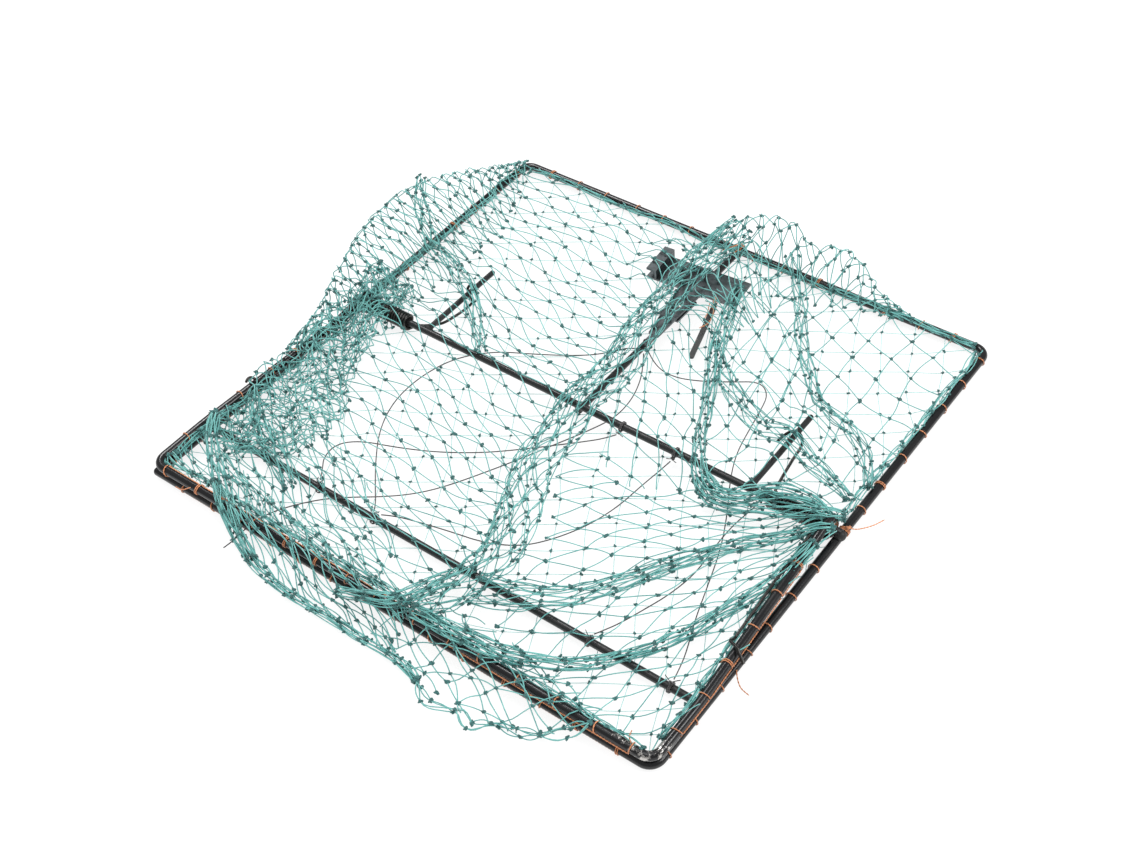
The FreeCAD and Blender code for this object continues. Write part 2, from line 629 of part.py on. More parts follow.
def nets():
    """Closed stand-ins for the nets: the flat ground net, and the slack upper net in two halves."""
    ground = doc.addObject("Part::Box", "ground")
    width = "(Sheet.side - 14)"
    bind(ground, Length=width, Width=width, Height="Sheet.net_flat")
    place(ground, f"-{width} / 2", f"-{width} / 2", "0")
    add("net_ground", ground)

    front = doc.addObject("PartDesign::Body", "front_net_body")
    drape = [("-10", "21"), ("-50", "30"), ("-100", "30"), ("-150", "27"), ("-186", "20"),
             ("-198", "18"), ("-213", "14"), ("-227", "3")]
    band(front, "front_drape", "YZ_Plane", drape, "366")
    add("net_front", front)

    back = doc.addObject("PartDesign::Body", "back_net_body")
    drape = [("10", "21"), ("60", "27"), ("110", "25"), ("160", "28"), ("186", "36"),
             ("202", "40"), ("211", "28"), ("213", "5")]
    band(back, "back_drape", "YZ_Plane", drape, "366")
    add("net_back", back)

    billow = doc.addObject("PartDesign::Body", "billow_body")
    fold = [("-184", "24"), ("-196", "38"), ("-212", "44"), ("-226", "34"), ("-230", "18"), ("-224", "4")]
    band(billow, "billow_fold", "XZ_Plane", fold, "172")
    billow.setExpression("Placement.Base.y", "104")
    add("net_billow", billow)


def check_and_export():
    doc.recompute()
    for obj in doc.Objects:
        if "Invalid" in obj.State or "Error" in obj.State:
            raise RuntimeError(f"{obj.Name} failed: {obj.State}")
    for name, obj in parts.items():
        if obj.Shape.isNull() or not obj.Shape.isValid():
            raise RuntimeError(f"{name} has no valid shape")
    os.makedirs("parts", exist_ok=True)
    for name, obj in parts.items():
        obj.Shape.exportStep(f"parts/{name}.step")
    print(f"{len(parts)} nodes written")


base_frame()
welds(bars())
washers()
springs()
flip_frame()
lashing()
trigger_plate()
trigger_mounting()
latch_stick()
ties()
trip_lines()
nets()
check_and_export()
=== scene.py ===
"""Looks of the folding clap-net trap: nets, lashing, trip lines, metals, floor, lights and camera.

Lengths are in millimetres until a mesh or curve is made, and metres in Blender.
"""
import math

import bpy
import numpy as np
from mathutils import Matrix, Vector


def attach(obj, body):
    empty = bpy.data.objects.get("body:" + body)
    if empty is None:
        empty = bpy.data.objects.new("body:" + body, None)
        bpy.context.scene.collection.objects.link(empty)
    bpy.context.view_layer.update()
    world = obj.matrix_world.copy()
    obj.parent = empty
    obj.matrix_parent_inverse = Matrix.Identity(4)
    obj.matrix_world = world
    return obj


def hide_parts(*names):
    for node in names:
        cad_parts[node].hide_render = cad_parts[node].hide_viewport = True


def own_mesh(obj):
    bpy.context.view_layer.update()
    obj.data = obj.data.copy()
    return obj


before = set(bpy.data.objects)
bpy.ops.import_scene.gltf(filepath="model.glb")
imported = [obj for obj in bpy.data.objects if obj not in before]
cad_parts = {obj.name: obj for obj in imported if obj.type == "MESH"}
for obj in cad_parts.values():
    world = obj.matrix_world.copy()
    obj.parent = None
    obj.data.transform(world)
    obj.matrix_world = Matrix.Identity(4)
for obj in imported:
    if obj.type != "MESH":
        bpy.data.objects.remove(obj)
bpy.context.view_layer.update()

MM = 0.001
ROD_R = 3.0
HALF = 197.0
BASE_Z = 3.95
FLIP_Z = 11.95
AXLE_Z = 9.45
ARM_ROOT_X = 190.4
BAR_Y = -148.0
UPWARD = np.array([0, 0, 1.0])
rng = np.random.default_rng(7)


# ---------------------------------------------------------------- mesh helpers

def unit(v):
    return v / np.maximum(np.linalg.norm(v, axis=-1, keepdims=True), 1e-9)


def tube_mesh(paths, radius, sides=6):
    """Vertices and quads of round tubes along paths of equal point count, in shape (paths, points, 3)."""
    paths = np.asarray(paths, float)
    count, points = paths.shape[:2]
    heading = unit(np.gradient(paths, axis=1))
    across = np.zeros_like(paths)
    first = np.cross(heading[:, 0], (0.0, 0.0, 1.0))
    upright = np.linalg.norm(first, axis=1) < 0.2
    first[upright] = np.cross(heading[upright, 0], (1.0, 0.0, 0.0))
    across[:, 0] = unit(first)
    for k in range(1, points):
        carried = across[:, k - 1]
        carried = carried - heading[:, k] * np.sum(carried * heading[:, k], axis=1, keepdims=True)
        across[:, k] = unit(carried)
    other = np.cross(heading, across)
    angles = np.linspace(0, 2 * math.pi, sides, endpoint=False)
    radius = np.broadcast_to(np.asarray(radius, float), (count, points))[:, :, None, None]
    ring = np.cos(angles)[:, None] * across[:, :, None] + np.sin(angles)[:, None] * other[:, :, None]
    verts = (paths[:, :, None] + radius * ring).reshape(-1, 3)
    corner = np.arange(count * points * sides).reshape(count, points, sides)
    following = np.roll(corner, -1, axis=2)
    walls = np.stack([corner[:, :-1], following[:, :-1], following[:, 1:], corner[:, 1:]], axis=-1)
    caps = []
    for end, order in ((0, (3, 2, 1, 0)), (points - 1, (0, 1, 2, 3))):
        for start in range(0, sides - 2, 2):
            picks = [(0, start + 1, start + 2, start + 3)[k] for k in order]
            caps.append(corner[:, end, picks])
    return verts, np.concatenate([walls.reshape(-1, 4)] + caps)


def joined(parts):
    """One vertex and face list from several."""
    verts, faces, start = [], [], 0
    for part_verts, part_faces in parts:
        verts.append(part_verts)
        faces.append(part_faces + start)
        start += len(part_verts)
    return np.concatenate(verts), np.concatenate(faces)


def mesh_object(name, verts, faces, material):
    """A smooth-shaded object from quads, with its vertices in millimetres."""
    mesh = bpy.data.meshes.new(name)
    mesh.vertices.add(len(verts))
    mesh.vertices.foreach_set("co", (verts * MM).astype(np.float32).ravel())
    mesh.loops.add(faces.size)
    mesh.loops.foreach_set("vertex_index", faces.astype(np.int32).ravel())
    mesh.polygons.add(len(faces))
    mesh.polygons.foreach_set("loop_start", np.arange(0, faces.size, 4, dtype=np.int32))
    mesh.polygons.foreach_set("use_smooth", np.ones(len(faces), dtype=bool))
    mesh.update(calc_edges=True)
    mesh.validate()
    mesh.materials.append(material)
    obj = bpy.data.objects.new(name, mesh)
    bpy.context.scene.collection.objects.link(obj)
    return obj


def ride_and_replace(obj, body, slot, *nodes):
    """A piece that moves with a body and takes the place of frame nodes; the slot is not used."""
    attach(obj, body)
    if nodes:
        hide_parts(*nodes)


# ---------------------------------------------------------------- materials

def new_material(name):
    material = bpy.data.materials.new(name)
    material.use_nodes = True
    shader = material.node_tree.nodes["Principled BSDF"]
    return material, material.node_tree, shader


def node(tree, kind, **sockets):
    made = tree.nodes.new(kind)
    for name, value in sockets.items():
        made.inputs[name.replace("_", " ")].default_value = value
    return made


def noise(tree, scale, detail=4.0, rough=0.6):
    """A noise in object space, with its scale in features per metre."""
    place = tree.nodes.new("ShaderNodeTexCoord")
    made = node(tree, "ShaderNodeTexNoise", Scale=scale, Detail=detail, Roughness=rough)
    tree.links.new(place.outputs["Object"], made.inputs["Vector"])
    return made.outputs["Fac"]


def ramp(tree, factor, stops):
    made = tree.nodes.new("ShaderNodeValToRGB")
    tree.links.new(factor, made.inputs["Fac"])
    line = made.color_ramp
    while len(line.elements) < len(stops):
        line.elements.new(0.5)
    for element, (place, colour) in zip(line.elements, stops):
        element.position = place
        element.color = (*colour, 1.0)
    return made.outputs["Color"]


def bump(tree, shader, height, strength, distance):
    made = node(tree, "ShaderNodeBump", Strength=strength, Distance=distance)
    tree.links.new(height, made.inputs["Height"])
    tree.links.new(made.outputs["Normal"], shader.inputs["Normal"])


def grey(value):
    return (value, value, value)


def painted(name, paint, bare, wear, rough, scuff=None):
    """Gloss paint over steel, with fine orange peel and spots worn to metal, more of them at a scuff."""
    material, tree, shader = new_material(name)
    pattern = noise(tree, 160, 8, 0.75)
    if scuff:
        place = tree.nodes.new("ShaderNodeTexCoord")
        apart = tree.nodes.new("ShaderNodeVectorMath")
        apart.operation = "DISTANCE"
        apart.inputs[1].default_value = scuff
        tree.links.new(place.outputs["Object"], apart.inputs[0])
        extra = tree.nodes.new("ShaderNodeMapRange")
        for socket, value in (("From Min", 0.008), ("From Max", 0.035), ("To Min", 0.20), ("To Max", 0.0)):
            extra.inputs[socket].default_value = value
        tree.links.new(apart.outputs["Value"], extra.inputs["Value"])
        total = tree.nodes.new("ShaderNodeMath")
        tree.links.new(extra.outputs["Result"], total.inputs[0])
        tree.links.new(pattern, total.inputs[1])
        pattern = total.outputs["Value"]
    spots = ramp(tree, pattern, [(wear, grey(0)), (wear + 0.04, grey(1))])
    colour = tree.nodes.new("ShaderNodeMixRGB")
    colour.inputs["Color1"].default_value = (*paint, 1)
    colour.inputs["Color2"].default_value = (*bare, 1)
    tree.links.new(spots, colour.inputs["Fac"])
    tree.links.new(colour.outputs["Color"], shader.inputs["Base Color"])
    metal = tree.nodes.new("ShaderNodeMath")
    metal.operation = "MULTIPLY"
    metal.inputs[1].default_value = 0.9
    tree.links.new(spots, metal.inputs[0])
    tree.links.new(metal.outputs["Value"], shader.inputs["Metallic"])
    gloss = ramp(tree, noise(tree, 55), [(0.3, grey(rough)), (0.75, grey(rough + 0.22))])
    tree.links.new(gloss, shader.inputs["Roughness"])
    bump(tree, shader, noise(tree, 900, 3), 0.12, 0.0002)
    return material


def bare_metal(name, colour, rough, grain=700.0):
    """Metal with patches of tarnish and a fine grain."""
    material, tree, shader = new_material(name)
    darker = tuple(c * 0.55 for c in colour)
    tone = ramp(tree, noise(tree, 120, 6), [(0.35, darker), (0.65, colour)])
    tree.links.new(tone, shader.inputs["Base Color"])
    shader.inputs["Metallic"].default_value = 1.0
    gloss = ramp(tree, noise(tree, 260), [(0.3, grey(rough)), (0.7, grey(rough + 0.2))])
    tree.links.new(gloss, shader.inputs["Roughness"])
    bump(tree, shader, noise(tree, grain, 3), 0.2, 0.0002)
    return material


def thread(name, light, dark, rough=0.6, sheen=0.3):
    """Twisted cord: fine slanting ply lines and patches of lighter and darker fibre."""
    material, tree, shader = new_material(name)
    tone = ramp(tree, noise(tree, 60, 5), [(0.35, dark), (0.65, light)])
    tree.links.new(tone, shader.inputs["Base Color"])
    shader.inputs["Roughness"].default_value = rough
    shader.inputs["Sheen Weight"].default_value = sheen
    place = tree.nodes.new("ShaderNodeTexCoord")
    plies = node(tree, "ShaderNodeTexWave", Scale=900.0, Distortion=1.5, Detail=1.0)
    plies.bands_direction = "DIAGONAL"
    tree.links.new(place.outputs["Object"], plies.inputs["Vector"])
    bump(tree, shader, plies.outputs["Fac"], 0.5, 0.0002)
    return material


GLOSS_BLACK = (0.006, 0.006, 0.007)
WORN_CORNER = (0.190, -0.192, 0.014)
WORN_PAINT = painted("black_paint_worn", GLOSS_BLACK, (0.55, 0.53, 0.50), 0.72, 0.14, WORN_CORNER)
BLACK_PAINT = painted("black_paint", GLOSS_BLACK, (0.30, 0.29, 0.27), 0.72, 0.14)
DARK_BAR = painted("dark_bar", (0.014, 0.014, 0.015), (0.25, 0.24, 0.23), 0.66, 0.24)
WELD = painted("weld_metal", (0.012, 0.012, 0.012), (0.20, 0.19, 0.18), 0.62, 0.45)
WASHER = bare_metal("washer_steel", (0.62, 0.61, 0.58), 0.22)
SPRING = bare_metal("spring_steel", (0.09, 0.088, 0.085), 0.24)
PLATE = bare_metal("sheet_steel", (0.20, 0.22, 0.23), 0.34, 500)
NET = thread("net_cord", (0.155, 0.45, 0.42), (0.055, 0.265, 0.25))
NET_PALE = thread("net_cord_pale", (0.33, 0.64, 0.62), (0.24, 0.53, 0.51))
# Knots far darker than the cords they are tied from: painted shade of their tight turns.
SHADED_NET_KNOT = thread("net_knot_painted_shade", (0.02, 0.14, 0.135), (0.01, 0.085, 0.08))
TRIP = thread("trip_thread", (0.06, 0.05, 0.05), (0.02, 0.018, 0.02), 0.5)
TWINE = thread("lashing_twine", (0.64, 0.25, 0.10), (0.42, 0.15, 0.055), 0.7)
STICK = painted("latch_strip", (0.025, 0.025, 0.026), (0.2, 0.19, 0.18), 0.60, 0.45)

NODE_MATERIALS = {
    BLACK_PAINT: ["base_frame"],
    WORN_PAINT: ["flip_frame"],
    DARK_BAR: ["axle_rod", "cross_bar", "centre_rod", "left_lever", "right_lever"],
    WELD: ["axle_welds", "cross_bar_welds", "centre_rod_welds", "lever_welds"],
    WASHER: ["axle_washers", "trigger_spacer", "trigger_rivet"],
    SPRING: ["right_spring_leg"],
    PLATE: ["trigger_plate", "trigger_saddle"],
    STICK: ["latch_stick"],
    TRIP: ["nib_tie"],
}


def paint_nodes():
    """Materials of the frame's own meshes that stay in view."""
    for material, names in NODE_MATERIALS.items():
        for name in names:
            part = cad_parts[name]
            part.data.materials.clear()
            part.data.materials.append(material)


# ---------------------------------------------------------------- netting

CORD_R = 0.37
GROUND_CORD_R = 0.22
BAR_POINTS = 7
KNOT_LOWEST = 1.2
TIE_Z_FLIP = FLIP_Z + 2.5
TIE_Z_BASE = BASE_Z + 3.0
TIE_REACH = 26
FLOOR_NET_Z = 3.4


def rounded(points, t):
    """Places at t, from 0 to 1, on a smooth curve through a list of points."""
    p = np.array(points, float)
    run = np.concatenate([[0], np.cumsum(np.linalg.norm(np.diff(p, axis=0), axis=1))])
    run /= run[-1]
    tangent = np.gradient(p, run, axis=0)
    k = np.clip(np.searchsorted(run, t, side="right") - 1, 0, len(p) - 2)
    width = (run[k + 1] - run[k])[..., None]
    s = (t - run[k])[..., None] / width
    start = (2 * s**3 - 3 * s**2 + 1) * p[k] + (s**3 - 2 * s**2 + s) * width * tangent[k]
    return start + (3 * s**2 - 2 * s**3) * p[k + 1] + (s**3 - s**2) * width * tangent[k + 1]


def inside(outline, places):
    """Whether each plan place is inside a closed outline."""
    corners = np.array(outline, float)
    x, y = places[..., 0], places[..., 1]
    found = np.zeros(x.shape, bool)
    for a, b in zip(corners, np.roll(corners, -1, axis=0)):
        if a[1] != b[1]:
            crossing = (a[1] > y) != (b[1] > y)
            found ^= crossing & (x < (b[0] - a[0]) * (y - a[1]) / (b[1] - a[1]) + a[0])
    return found


def off_box(value, centre, half):
    """How far a coordinate lies outside a span."""
    return np.maximum(np.abs(value - centre) - half, 0)


def supports(x, y):
    """Height of whatever lies under the net: axle, bars, trigger, levers or springs, and the floor."""
    axle = 12.6 - 0.35 * off_box(y, 0, 3)
    cross_bar = 7.6 - 0.3 * off_box(y, BAR_Y, 3)
    centre_rod = np.where(y > 0, 7.6 - 0.3 * off_box(x, 0, 3), 0)
    trigger_head = 12.2 - 0.4 * (off_box(x, 0, 36) + off_box(y, 148, 15))
    catch_lip = 19.5 - 0.8 * (off_box(x, -33, 6) + off_box(y, 150, 15))
    trigger_arm = 12.6 - 0.5 * (off_box(x, 0, 12) + off_box(y, 100, 32))
    levers = 12.6 - 0.5 * (off_box(np.abs(x), 133, 3) + off_box(y, 37, 37))
    springs = 17.0 - 0.7 * (off_box(np.abs(x), 168, 20) + off_box(y, 0, 6))
    heights = [axle, cross_bar, centre_rod, trigger_head, catch_lip, trigger_arm, levers, springs]
    return np.maximum(np.max(heights, axis=0), 3.2)


def lying(x, y):
    """Height of net that lies slack over the supports and climbs to its ties at the rods."""
    wave = 1.6 * np.sin(x / 23 + 1.3 * np.sin(y / 31)) * np.sin(y / 19 + 0.7 * np.cos(x / 37))
    slack = np.maximum(supports(x, y) + 1.8 + wave, FLOOR_NET_Z)
    tie = np.where(y < -2, TIE_Z_FLIP, TIE_Z_BASE)
    near = np.clip(1 - (HALF - np.maximum(np.abs(x), np.abs(y))) / TIE_REACH, 0, 1) ** 1.5
    past = np.clip(-HALF - y - 4, 0, 13)
    return slack * (1 - near) + tie * near - 0.9 * past


def wander(places, size):
    """Plan places moved a little from a straight lattice, smoothly."""
    x, y = places[..., 0], places[..., 1]
    across = np.sin(y / 27 + 0.5 * np.sin(x / 41)) + 0.5 * np.sin(y / 11 + x / 17)
    ahead = np.sin(x / 29 + 1.1 * np.sin(y / 37)) + 0.5 * np.sin(x / 13 - y / 15)
    return places + size * np.stack([across, ahead], axis=-1)


def bowed(paths, size):
    """Every bar bent a little to a side of its own."""
    along = unit(paths[:, -1] - paths[:, 0])
    lean = rng.normal(0, 1, (len(paths), 3))
    lean[:, 2] = np.abs(lean[:, 2]) * 0.6
    lean = unit(lean - along * np.sum(lean * along, axis=1, keepdims=True))
    depth = size * rng.uniform(0.3, 1.0, (len(paths), 1))
    swell = np.sin(math.pi * np.linspace(0, 1, paths.shape[1]))
    return paths + (swell * depth)[..., None] * lean[:, None]


def diamonds(surface, columns, rows, jitter=0.2, bow=1.3, closed=False):
    """Net over a surface(u, v) in half meshes: columns along u, and rows along v, which may close."""
    lines = rows if closed else rows + 1
    cells = [(i, j) for i in range(columns + 1) for j in range(lines) if (i + j) % 2 == 0]
    place = {}
    for i, j in cells:
        shift_u = rng.uniform(-jitter, jitter) * (0 < i < columns)
        shift_v = rng.uniform(-jitter, jitter) * (closed or 0 < j < rows)
        place[i, j] = np.array([(i + shift_u) / columns, (j + shift_v) / rows])
    ends = []
    for i, j in cells:
        for step in (1, -1):
            turns = (j + step) // rows if closed else 0
            other = (i + 1, j + step - turns * rows)
            if other in place:
                ends.append((place[i, j], place[other] + (0, turns)))
    ends = np.array(ends)
    t = np.linspace(0, 1, BAR_POINTS)[None, :, None]
    uv = ends[:, None, 0] * (1 - t) + ends[:, None, 1] * t
    knots = surface(*np.array(list(place.values())).T)
    return bowed(surface(uv[..., 0], uv[..., 1]), bow), knots


FIELD_REACH = 34
FIELD_SPREAD = 3.0
CLIP_POINTS = 25


def field(outline, origin, one, two, bow, height=lying):
    """Net at a height(x, y) inside a plan outline, whose bars run along two directions."""
    origin, one, two = (np.array(v, float) for v in (origin, one, two))
    steps = range(-FIELD_REACH, FIELD_REACH + 1)
    spot = {(i, j): origin + i * one + j * two + rng.normal(0, 1.0, 2) for i in steps for j in steps}
    ends = [
        (place, spot[i + di, j + dj])
        for (i, j), place in spot.items() for di, dj in ((1, 0), (0, 1)) if (i + di, j + dj) in spot
    ]
    ends = np.array(ends)
    ends = ends[np.abs(ends[:, 0]).max(axis=1) < HALF + 30]
    fine = np.linspace(0, 1, CLIP_POINTS)[None, :, None]
    lines = wander(ends[:, None, 0] * (1 - fine) + ends[:, None, 1] * fine, FIELD_SPREAD)
    paths = []
    for line, kept in zip(lines, inside(outline, lines)):
        if kept.sum() > 3:
            first, last = np.flatnonzero(kept)[[0, -1]]
            picks = np.linspace(first, last, BAR_POINTS)
            run = [np.interp(picks, np.arange(CLIP_POINTS), line[:, k]) for k in (0, 1)]
            paths.append(np.column_stack(run))
    paths = np.array(paths)
    paths = np.concatenate([paths, height(paths[..., 0], paths[..., 1])[..., None]], axis=-1)
    knots = wander(np.array(list(spot.values())), FIELD_SPREAD)
    knots = knots[inside(outline, knots)]
    return bowed(paths, bow), np.column_stack([knots, height(*knots.T) + 0.3])


def along(u, sizes):
    """A size that varies evenly along a fold."""
    sizes = np.atleast_1d(sizes)
    return np.interp(u, np.linspace(0, 1, len(sizes)), sizes)


def rolled(line, half_width, height, rows, mesh=20.0, bow=1.4):
    """Net rolled or bunched into a tube along a line of (x, y, z) points: a fold, or a rope of strands."""
    length = np.linalg.norm(np.diff(np.array(line, float), axis=0), axis=1).sum()

    def surface(u, v):
        centre = rounded(line, np.clip(u, 0, 1))
        heading = rounded(line, np.clip(u + 1e-3, 0, 1)) - rounded(line, np.clip(u - 1e-3, 0, 1))
        side = unit(np.stack([-heading[..., 1], heading[..., 0], 0 * u], axis=-1))
        angle = 2 * math.pi * v
        place = centre + side * (along(u, half_width) * np.cos(angle))[..., None]
        low = np.maximum(lying(place[..., 0], place[..., 1]) - 1.5, place[..., 2])
        place[..., 2] = low + along(u, height) * (0.5 + 0.5 * np.sin(angle))
        return place

    return diamonds(surface, max(4, int(length / mesh)), rows, 0.25, bow, closed=True)


def arch(v, outs, ups):
    """A rounded profile through (out, up) stations, at v from 0 to 1."""
    last = len(outs) - 1
    k = np.clip(v * last, 0, last)
    station = np.minimum(k.astype(int), last - 1)
    s = k - station
    s = s * 0.6 + 0.4 * s * s * (3 - 2 * s)

    def between(sizes):
        before, after = (np.take_along_axis(np.stack(sizes), n[None], 0)[0] for n in (station, station + 1))
        return before * (1 - s) + after * s

    return between(outs), between(ups)


def pillow(v, out, top, back, foot, landing):
    """Profile of slack net that leaves its ties, bulges out and up, and lies down again inside."""
    outs = [0 * v, 0.75 * out, out, 0.65 * out, -0.15 * back, -0.65 * back, -back]
    ups = [foot, foot + 0.35 * (top - foot), foot + 0.72 * (top - foot), top, 0.93 * top, 0.5 * top, landing]
    return arch(v, outs, [u + 0 * v for u in ups])


# Stations of the billow along the left rod and of the hump along the back rod, with how far each
# bulges out past its rod and how high it stands there.
BILLOW_Y = [-70, -37, -16, 12, 34, 56, 77, 104, 134, 157, 192]
BILLOW_OUT = [3, 6, 12, 23, 28, 31, 32, 25, 14, 5, 1]
BILLOW_TOP = [15, 23, 32, 40, 44, 46, 47, 45, 36, 25, 9]
HUMP_X = [-24, -10, 17, 30, 40, 49, 55, 64, 76, 90, 98, 109, 138]
HUMP_OUT = [0, 1, 4, 7, 9, 9, 6, 8, 12, 12, 9, 5, 1]
HUMP_TOP = [13, 28, 43, 46, 46, 43, 34, 34, 38, 36, 29, 16, 8]


def left_billow(v, u):
    """Slack net that bulges out over the left rod and lies down again inside it."""
    y = BILLOW_Y[-1] - (BILLOW_Y[-1] - BILLOW_Y[0]) * u
    back = np.interp(y, [-70, -20, 12, 70, 130, 192], [12, 26, 34, 34, 34, 6])
    foot = np.where(y < 0, 14, 7)
    bulge = np.interp(y, BILLOW_Y, BILLOW_OUT)
    crest = np.interp(y, BILLOW_Y, BILLOW_TOP)
    out, up = pillow(v, bulge, crest, back, foot, 6)
    return np.stack([-HALF + 1 - out, y + 6 * np.sin(v * 3 + u * 9) * v, up], axis=-1)


def back_hump(v, u):
    """Slack net that stands up over the back rod in two humps."""
    x = (HUMP_X[-1] - HUMP_X[0]) * u + HUMP_X[0]
    back = np.interp(x, [-24, 0, 30, 55, 75, 95, 138], [30, 42, 46, 34, 24, 16, 5])
    landing = np.where(x < 75, 14, 7)
    bulge = np.interp(x, HUMP_X, HUMP_OUT)
    crest = np.interp(x, HUMP_X, HUMP_TOP)
    out, up = pillow(v, bulge, crest, back, 7, landing)
    return np.stack([x + 5 * np.sin(v * 4 + u * 8) * v, HALF - 1 + out, up], axis=-1)


def trigger_cover(u, v):
    """Long meshes that arch across the trigger, from the roll to the rope at its right."""
    left = np.array([4, 196, 20]) * (1 - v[..., None]) + np.array([0, 112, 12]) * v[..., None]
    right = np.array([60, 152, 16]) * (1 - v[..., None]) + np.array([44, 100, 5]) * v[..., None]
    place = left * (1 - u[..., None]) + right * u[..., None]
    place[..., 2] += 15 * np.sin(math.pi * u) * (1 - 0.4 * v)
    place[..., 1] += 5 * np.sin(4 * u + 5 * v)
    place[..., 2] = np.maximum(place[..., 2], lying(place[..., 0], place[..., 1]))
    return place


def left_gather(layer):
    """One of the crumpled layers beside the left rod, in front of the axle."""
    def surface(u, v):
        y = 26 - 184 * u
        inner = np.interp(y, [-158, -136, -98, -67, -27, 30], [-160, -128, -126, -146, -158, -168])
        x = 3 * np.sin(y / 6 + layer) - 195 + (inner + 195) * v
        crest = np.interp(y, [-158, -120, -60, -20, 30], [10, 12, 18, 24, 22])
        up = crest * (1 - 0.75 * v) + 5 * v + 3 * layer * np.sin(x / 7 + y / 9 + layer)
        return np.stack([x, y + 3 * np.sin(x / 8 + 2 * layer), np.maximum(up, 3)], axis=-1)
    return surface


SKIRT_EDGE = [
    (-150, -188, 14), (-125, -202, 8), (-104, -212, 3), (-87, -218, 3), (-57, -222, 3), (-22, -222, 3),
    (9, -222, 3), (42, -223, 3), (52, -226, 3),
]
SKIRT_LOOPS = [
    (40, -222, 3), (52, -226, 3), (68, -234, 2), (78, -231, 2), (87, -228, 2), (96, -232, 2),
    (105, -226, 3), (123, -220, 3), (137, -213, 3), (149, -205, 6), (156, -198, 13),
]
SKIRT_LEFT = [
    (-176, -160), (-150, -188), (-125, -202), (-104, -212), (-57, -222), (9, -222), (30, -222),
    (18, -186), (-20, -180), (-90, -178), (-150, -165),
]
SKIRT_RIGHT = [
    (6, -221), (42, -223), (52, -226), (68, -234), (87, -228), (96, -232), (105, -226), (123, -220),
    (137, -213), (149, -205), (156, -197), (156, -186), (110, -178), (60, -174), (22, -180),
]


OVER_ROD_Z = 15.8


def draped(x, y):
    """Height of net that comes over the front rods and falls to the floor in front of them."""
    past = -HALF - y
    wave = 1.2 * np.sin(x / 13 + 1.7 * np.sin(y / 9)) + 0.8 * np.sin(x / 5 - y / 7)
    before = np.maximum(OVER_ROD_Z + 0.45 * (past + 3), lying(x, y))
    after = np.maximum(OVER_ROD_Z - (past - 3.5), 2.8 + np.maximum(wave, -0.8))
    return np.where(past < -3, before, np.where(past > 3.5, after, OVER_ROD_Z))


ROLL = [
    (26, -194, 10), (33, -169, 6), (38, -146, 4), (26, -95, 3), (11, -61, 3), (6, -13, 4), (4, 28, 3),
    (-4, 106, 6), (-7, 150, 12), (3, 192, 18),
]
ROLL_HALF_WIDTH = (9, 12, 14, 13, 13, 13, 11, 10, 12)
ROLL_HEIGHT = (12, 14, 15, 15, 14, 14, 13, 14, 20)
# Each rope by its line, its half width along the line, its height and how many half meshes go round it.
ROPES = {
    "trigger to axle": (
        [
            (30, 150, 12), (36, 125, 9), (50, 88, 4), (66, 55, 3), (82, 22, 3), (98, -4, 4),
            (111, -18, 4),
        ],
        (4, 5, 4, 4, 5), 6, 12,
    ),
    "axle, lower strand": (
        [
            (111, -18, 4), (126, -17, 4), (142, -6, 6), (164, 4, 8), (190, 4, 9),
        ],
        (5, 5, 4, 3), 6, 14,
    ),
    "axle, upper strand": (
        [
            (104, -12, 4), (124, -20, 8), (146, -14, 13), (168, -6, 14), (184, 2, 14), (194, 10, 10),
        ],
        (5, 8, 7, 3), 6, 18,
    ),
    "back rod to right rod": (
        [
            (40, 204, 10), (66, 173, 5), (88, 138, 4), (112, 110, 4), (132, 90, 4), (155, 83, 4),
            (178, 66, 5), (193, 42, 7),
        ],
        (5, 4, 4, 4, 4, 5, 4, 2), 4, 8,
    ),
    "trigger to right rod": (
        [
            (42, 102, 5), (60, 82, 4), (88, 63, 4), (125, 48, 4), (156, 40, 6), (188, 26, 9),
        ],
        (2, 6, 8, 8, 6, 3), 4, 10,
    ),
    "right end of the axle to the cross bar": (
        [
            (194, -4, 12), (176, -19, 8), (158, -33, 4), (142, -53, 4), (124, -77, 3), (108, -104, 3),
            (88, -133, 4), (64, -150, 4), (40, -158, 5),
        ],
        (2, 4, 5, 6, 9, 11), 5, 14,
    ),
    "right end of the axle to the front rods": (
        [
            (192, -22, 14), (184, -60, 8), (171, -91, 4), (160, -118, 4), (145, -145, 5), (126, -168, 8),
            (100, -186, 14), (62, -193, 15), (26, -196, 15),
        ],
        (3, 4, 4, 3, 4, 5, 5), 5, 14,
    ),
    "pleat of the left billow": (
        [
            (-218, 100, 42), (-208, 86, 34), (-198, 78, 18), (-188, 72, 10),
        ],
        (3, 5, 5), 5, 8,
    ),
    "front left corner": (
        [
            (-192, -146, 15), (-180, -161, 15), (-164, -174, 15), (-146, -187, 14), (-122, -203, 4),
            (-92, -216, 3),
        ],
        (3, 4, 5, 3), 5, 12,
    ),
    "front end of the roll": (
        [
            (-26, -207, 6), (-4, -204, 15), (11, -198, 16), (17, -186, 13), (18, -172, 8), (24, -158, 5),
        ],
        (2, 4, 6, 6), 6, 14,
    ),
    "left rod to axle": (
        [
            (-196, 74, 8), (-180, 70, 9), (-160, 63, 8), (-127, 42, 5), (-105, 22, 4), (-84, 2, 4),
        ],
        (2, 5, 6, 5, 4), 6, 10,
    ),
    "left gather to cross bar": (
        [
            (-184, -118, 12), (-172, -128, 10), (-150, -140, 6), (-130, -150, 6), (-112, -160, 6),
        ],
        (3, 5, 6, 4), 6, 10,
    ),
}

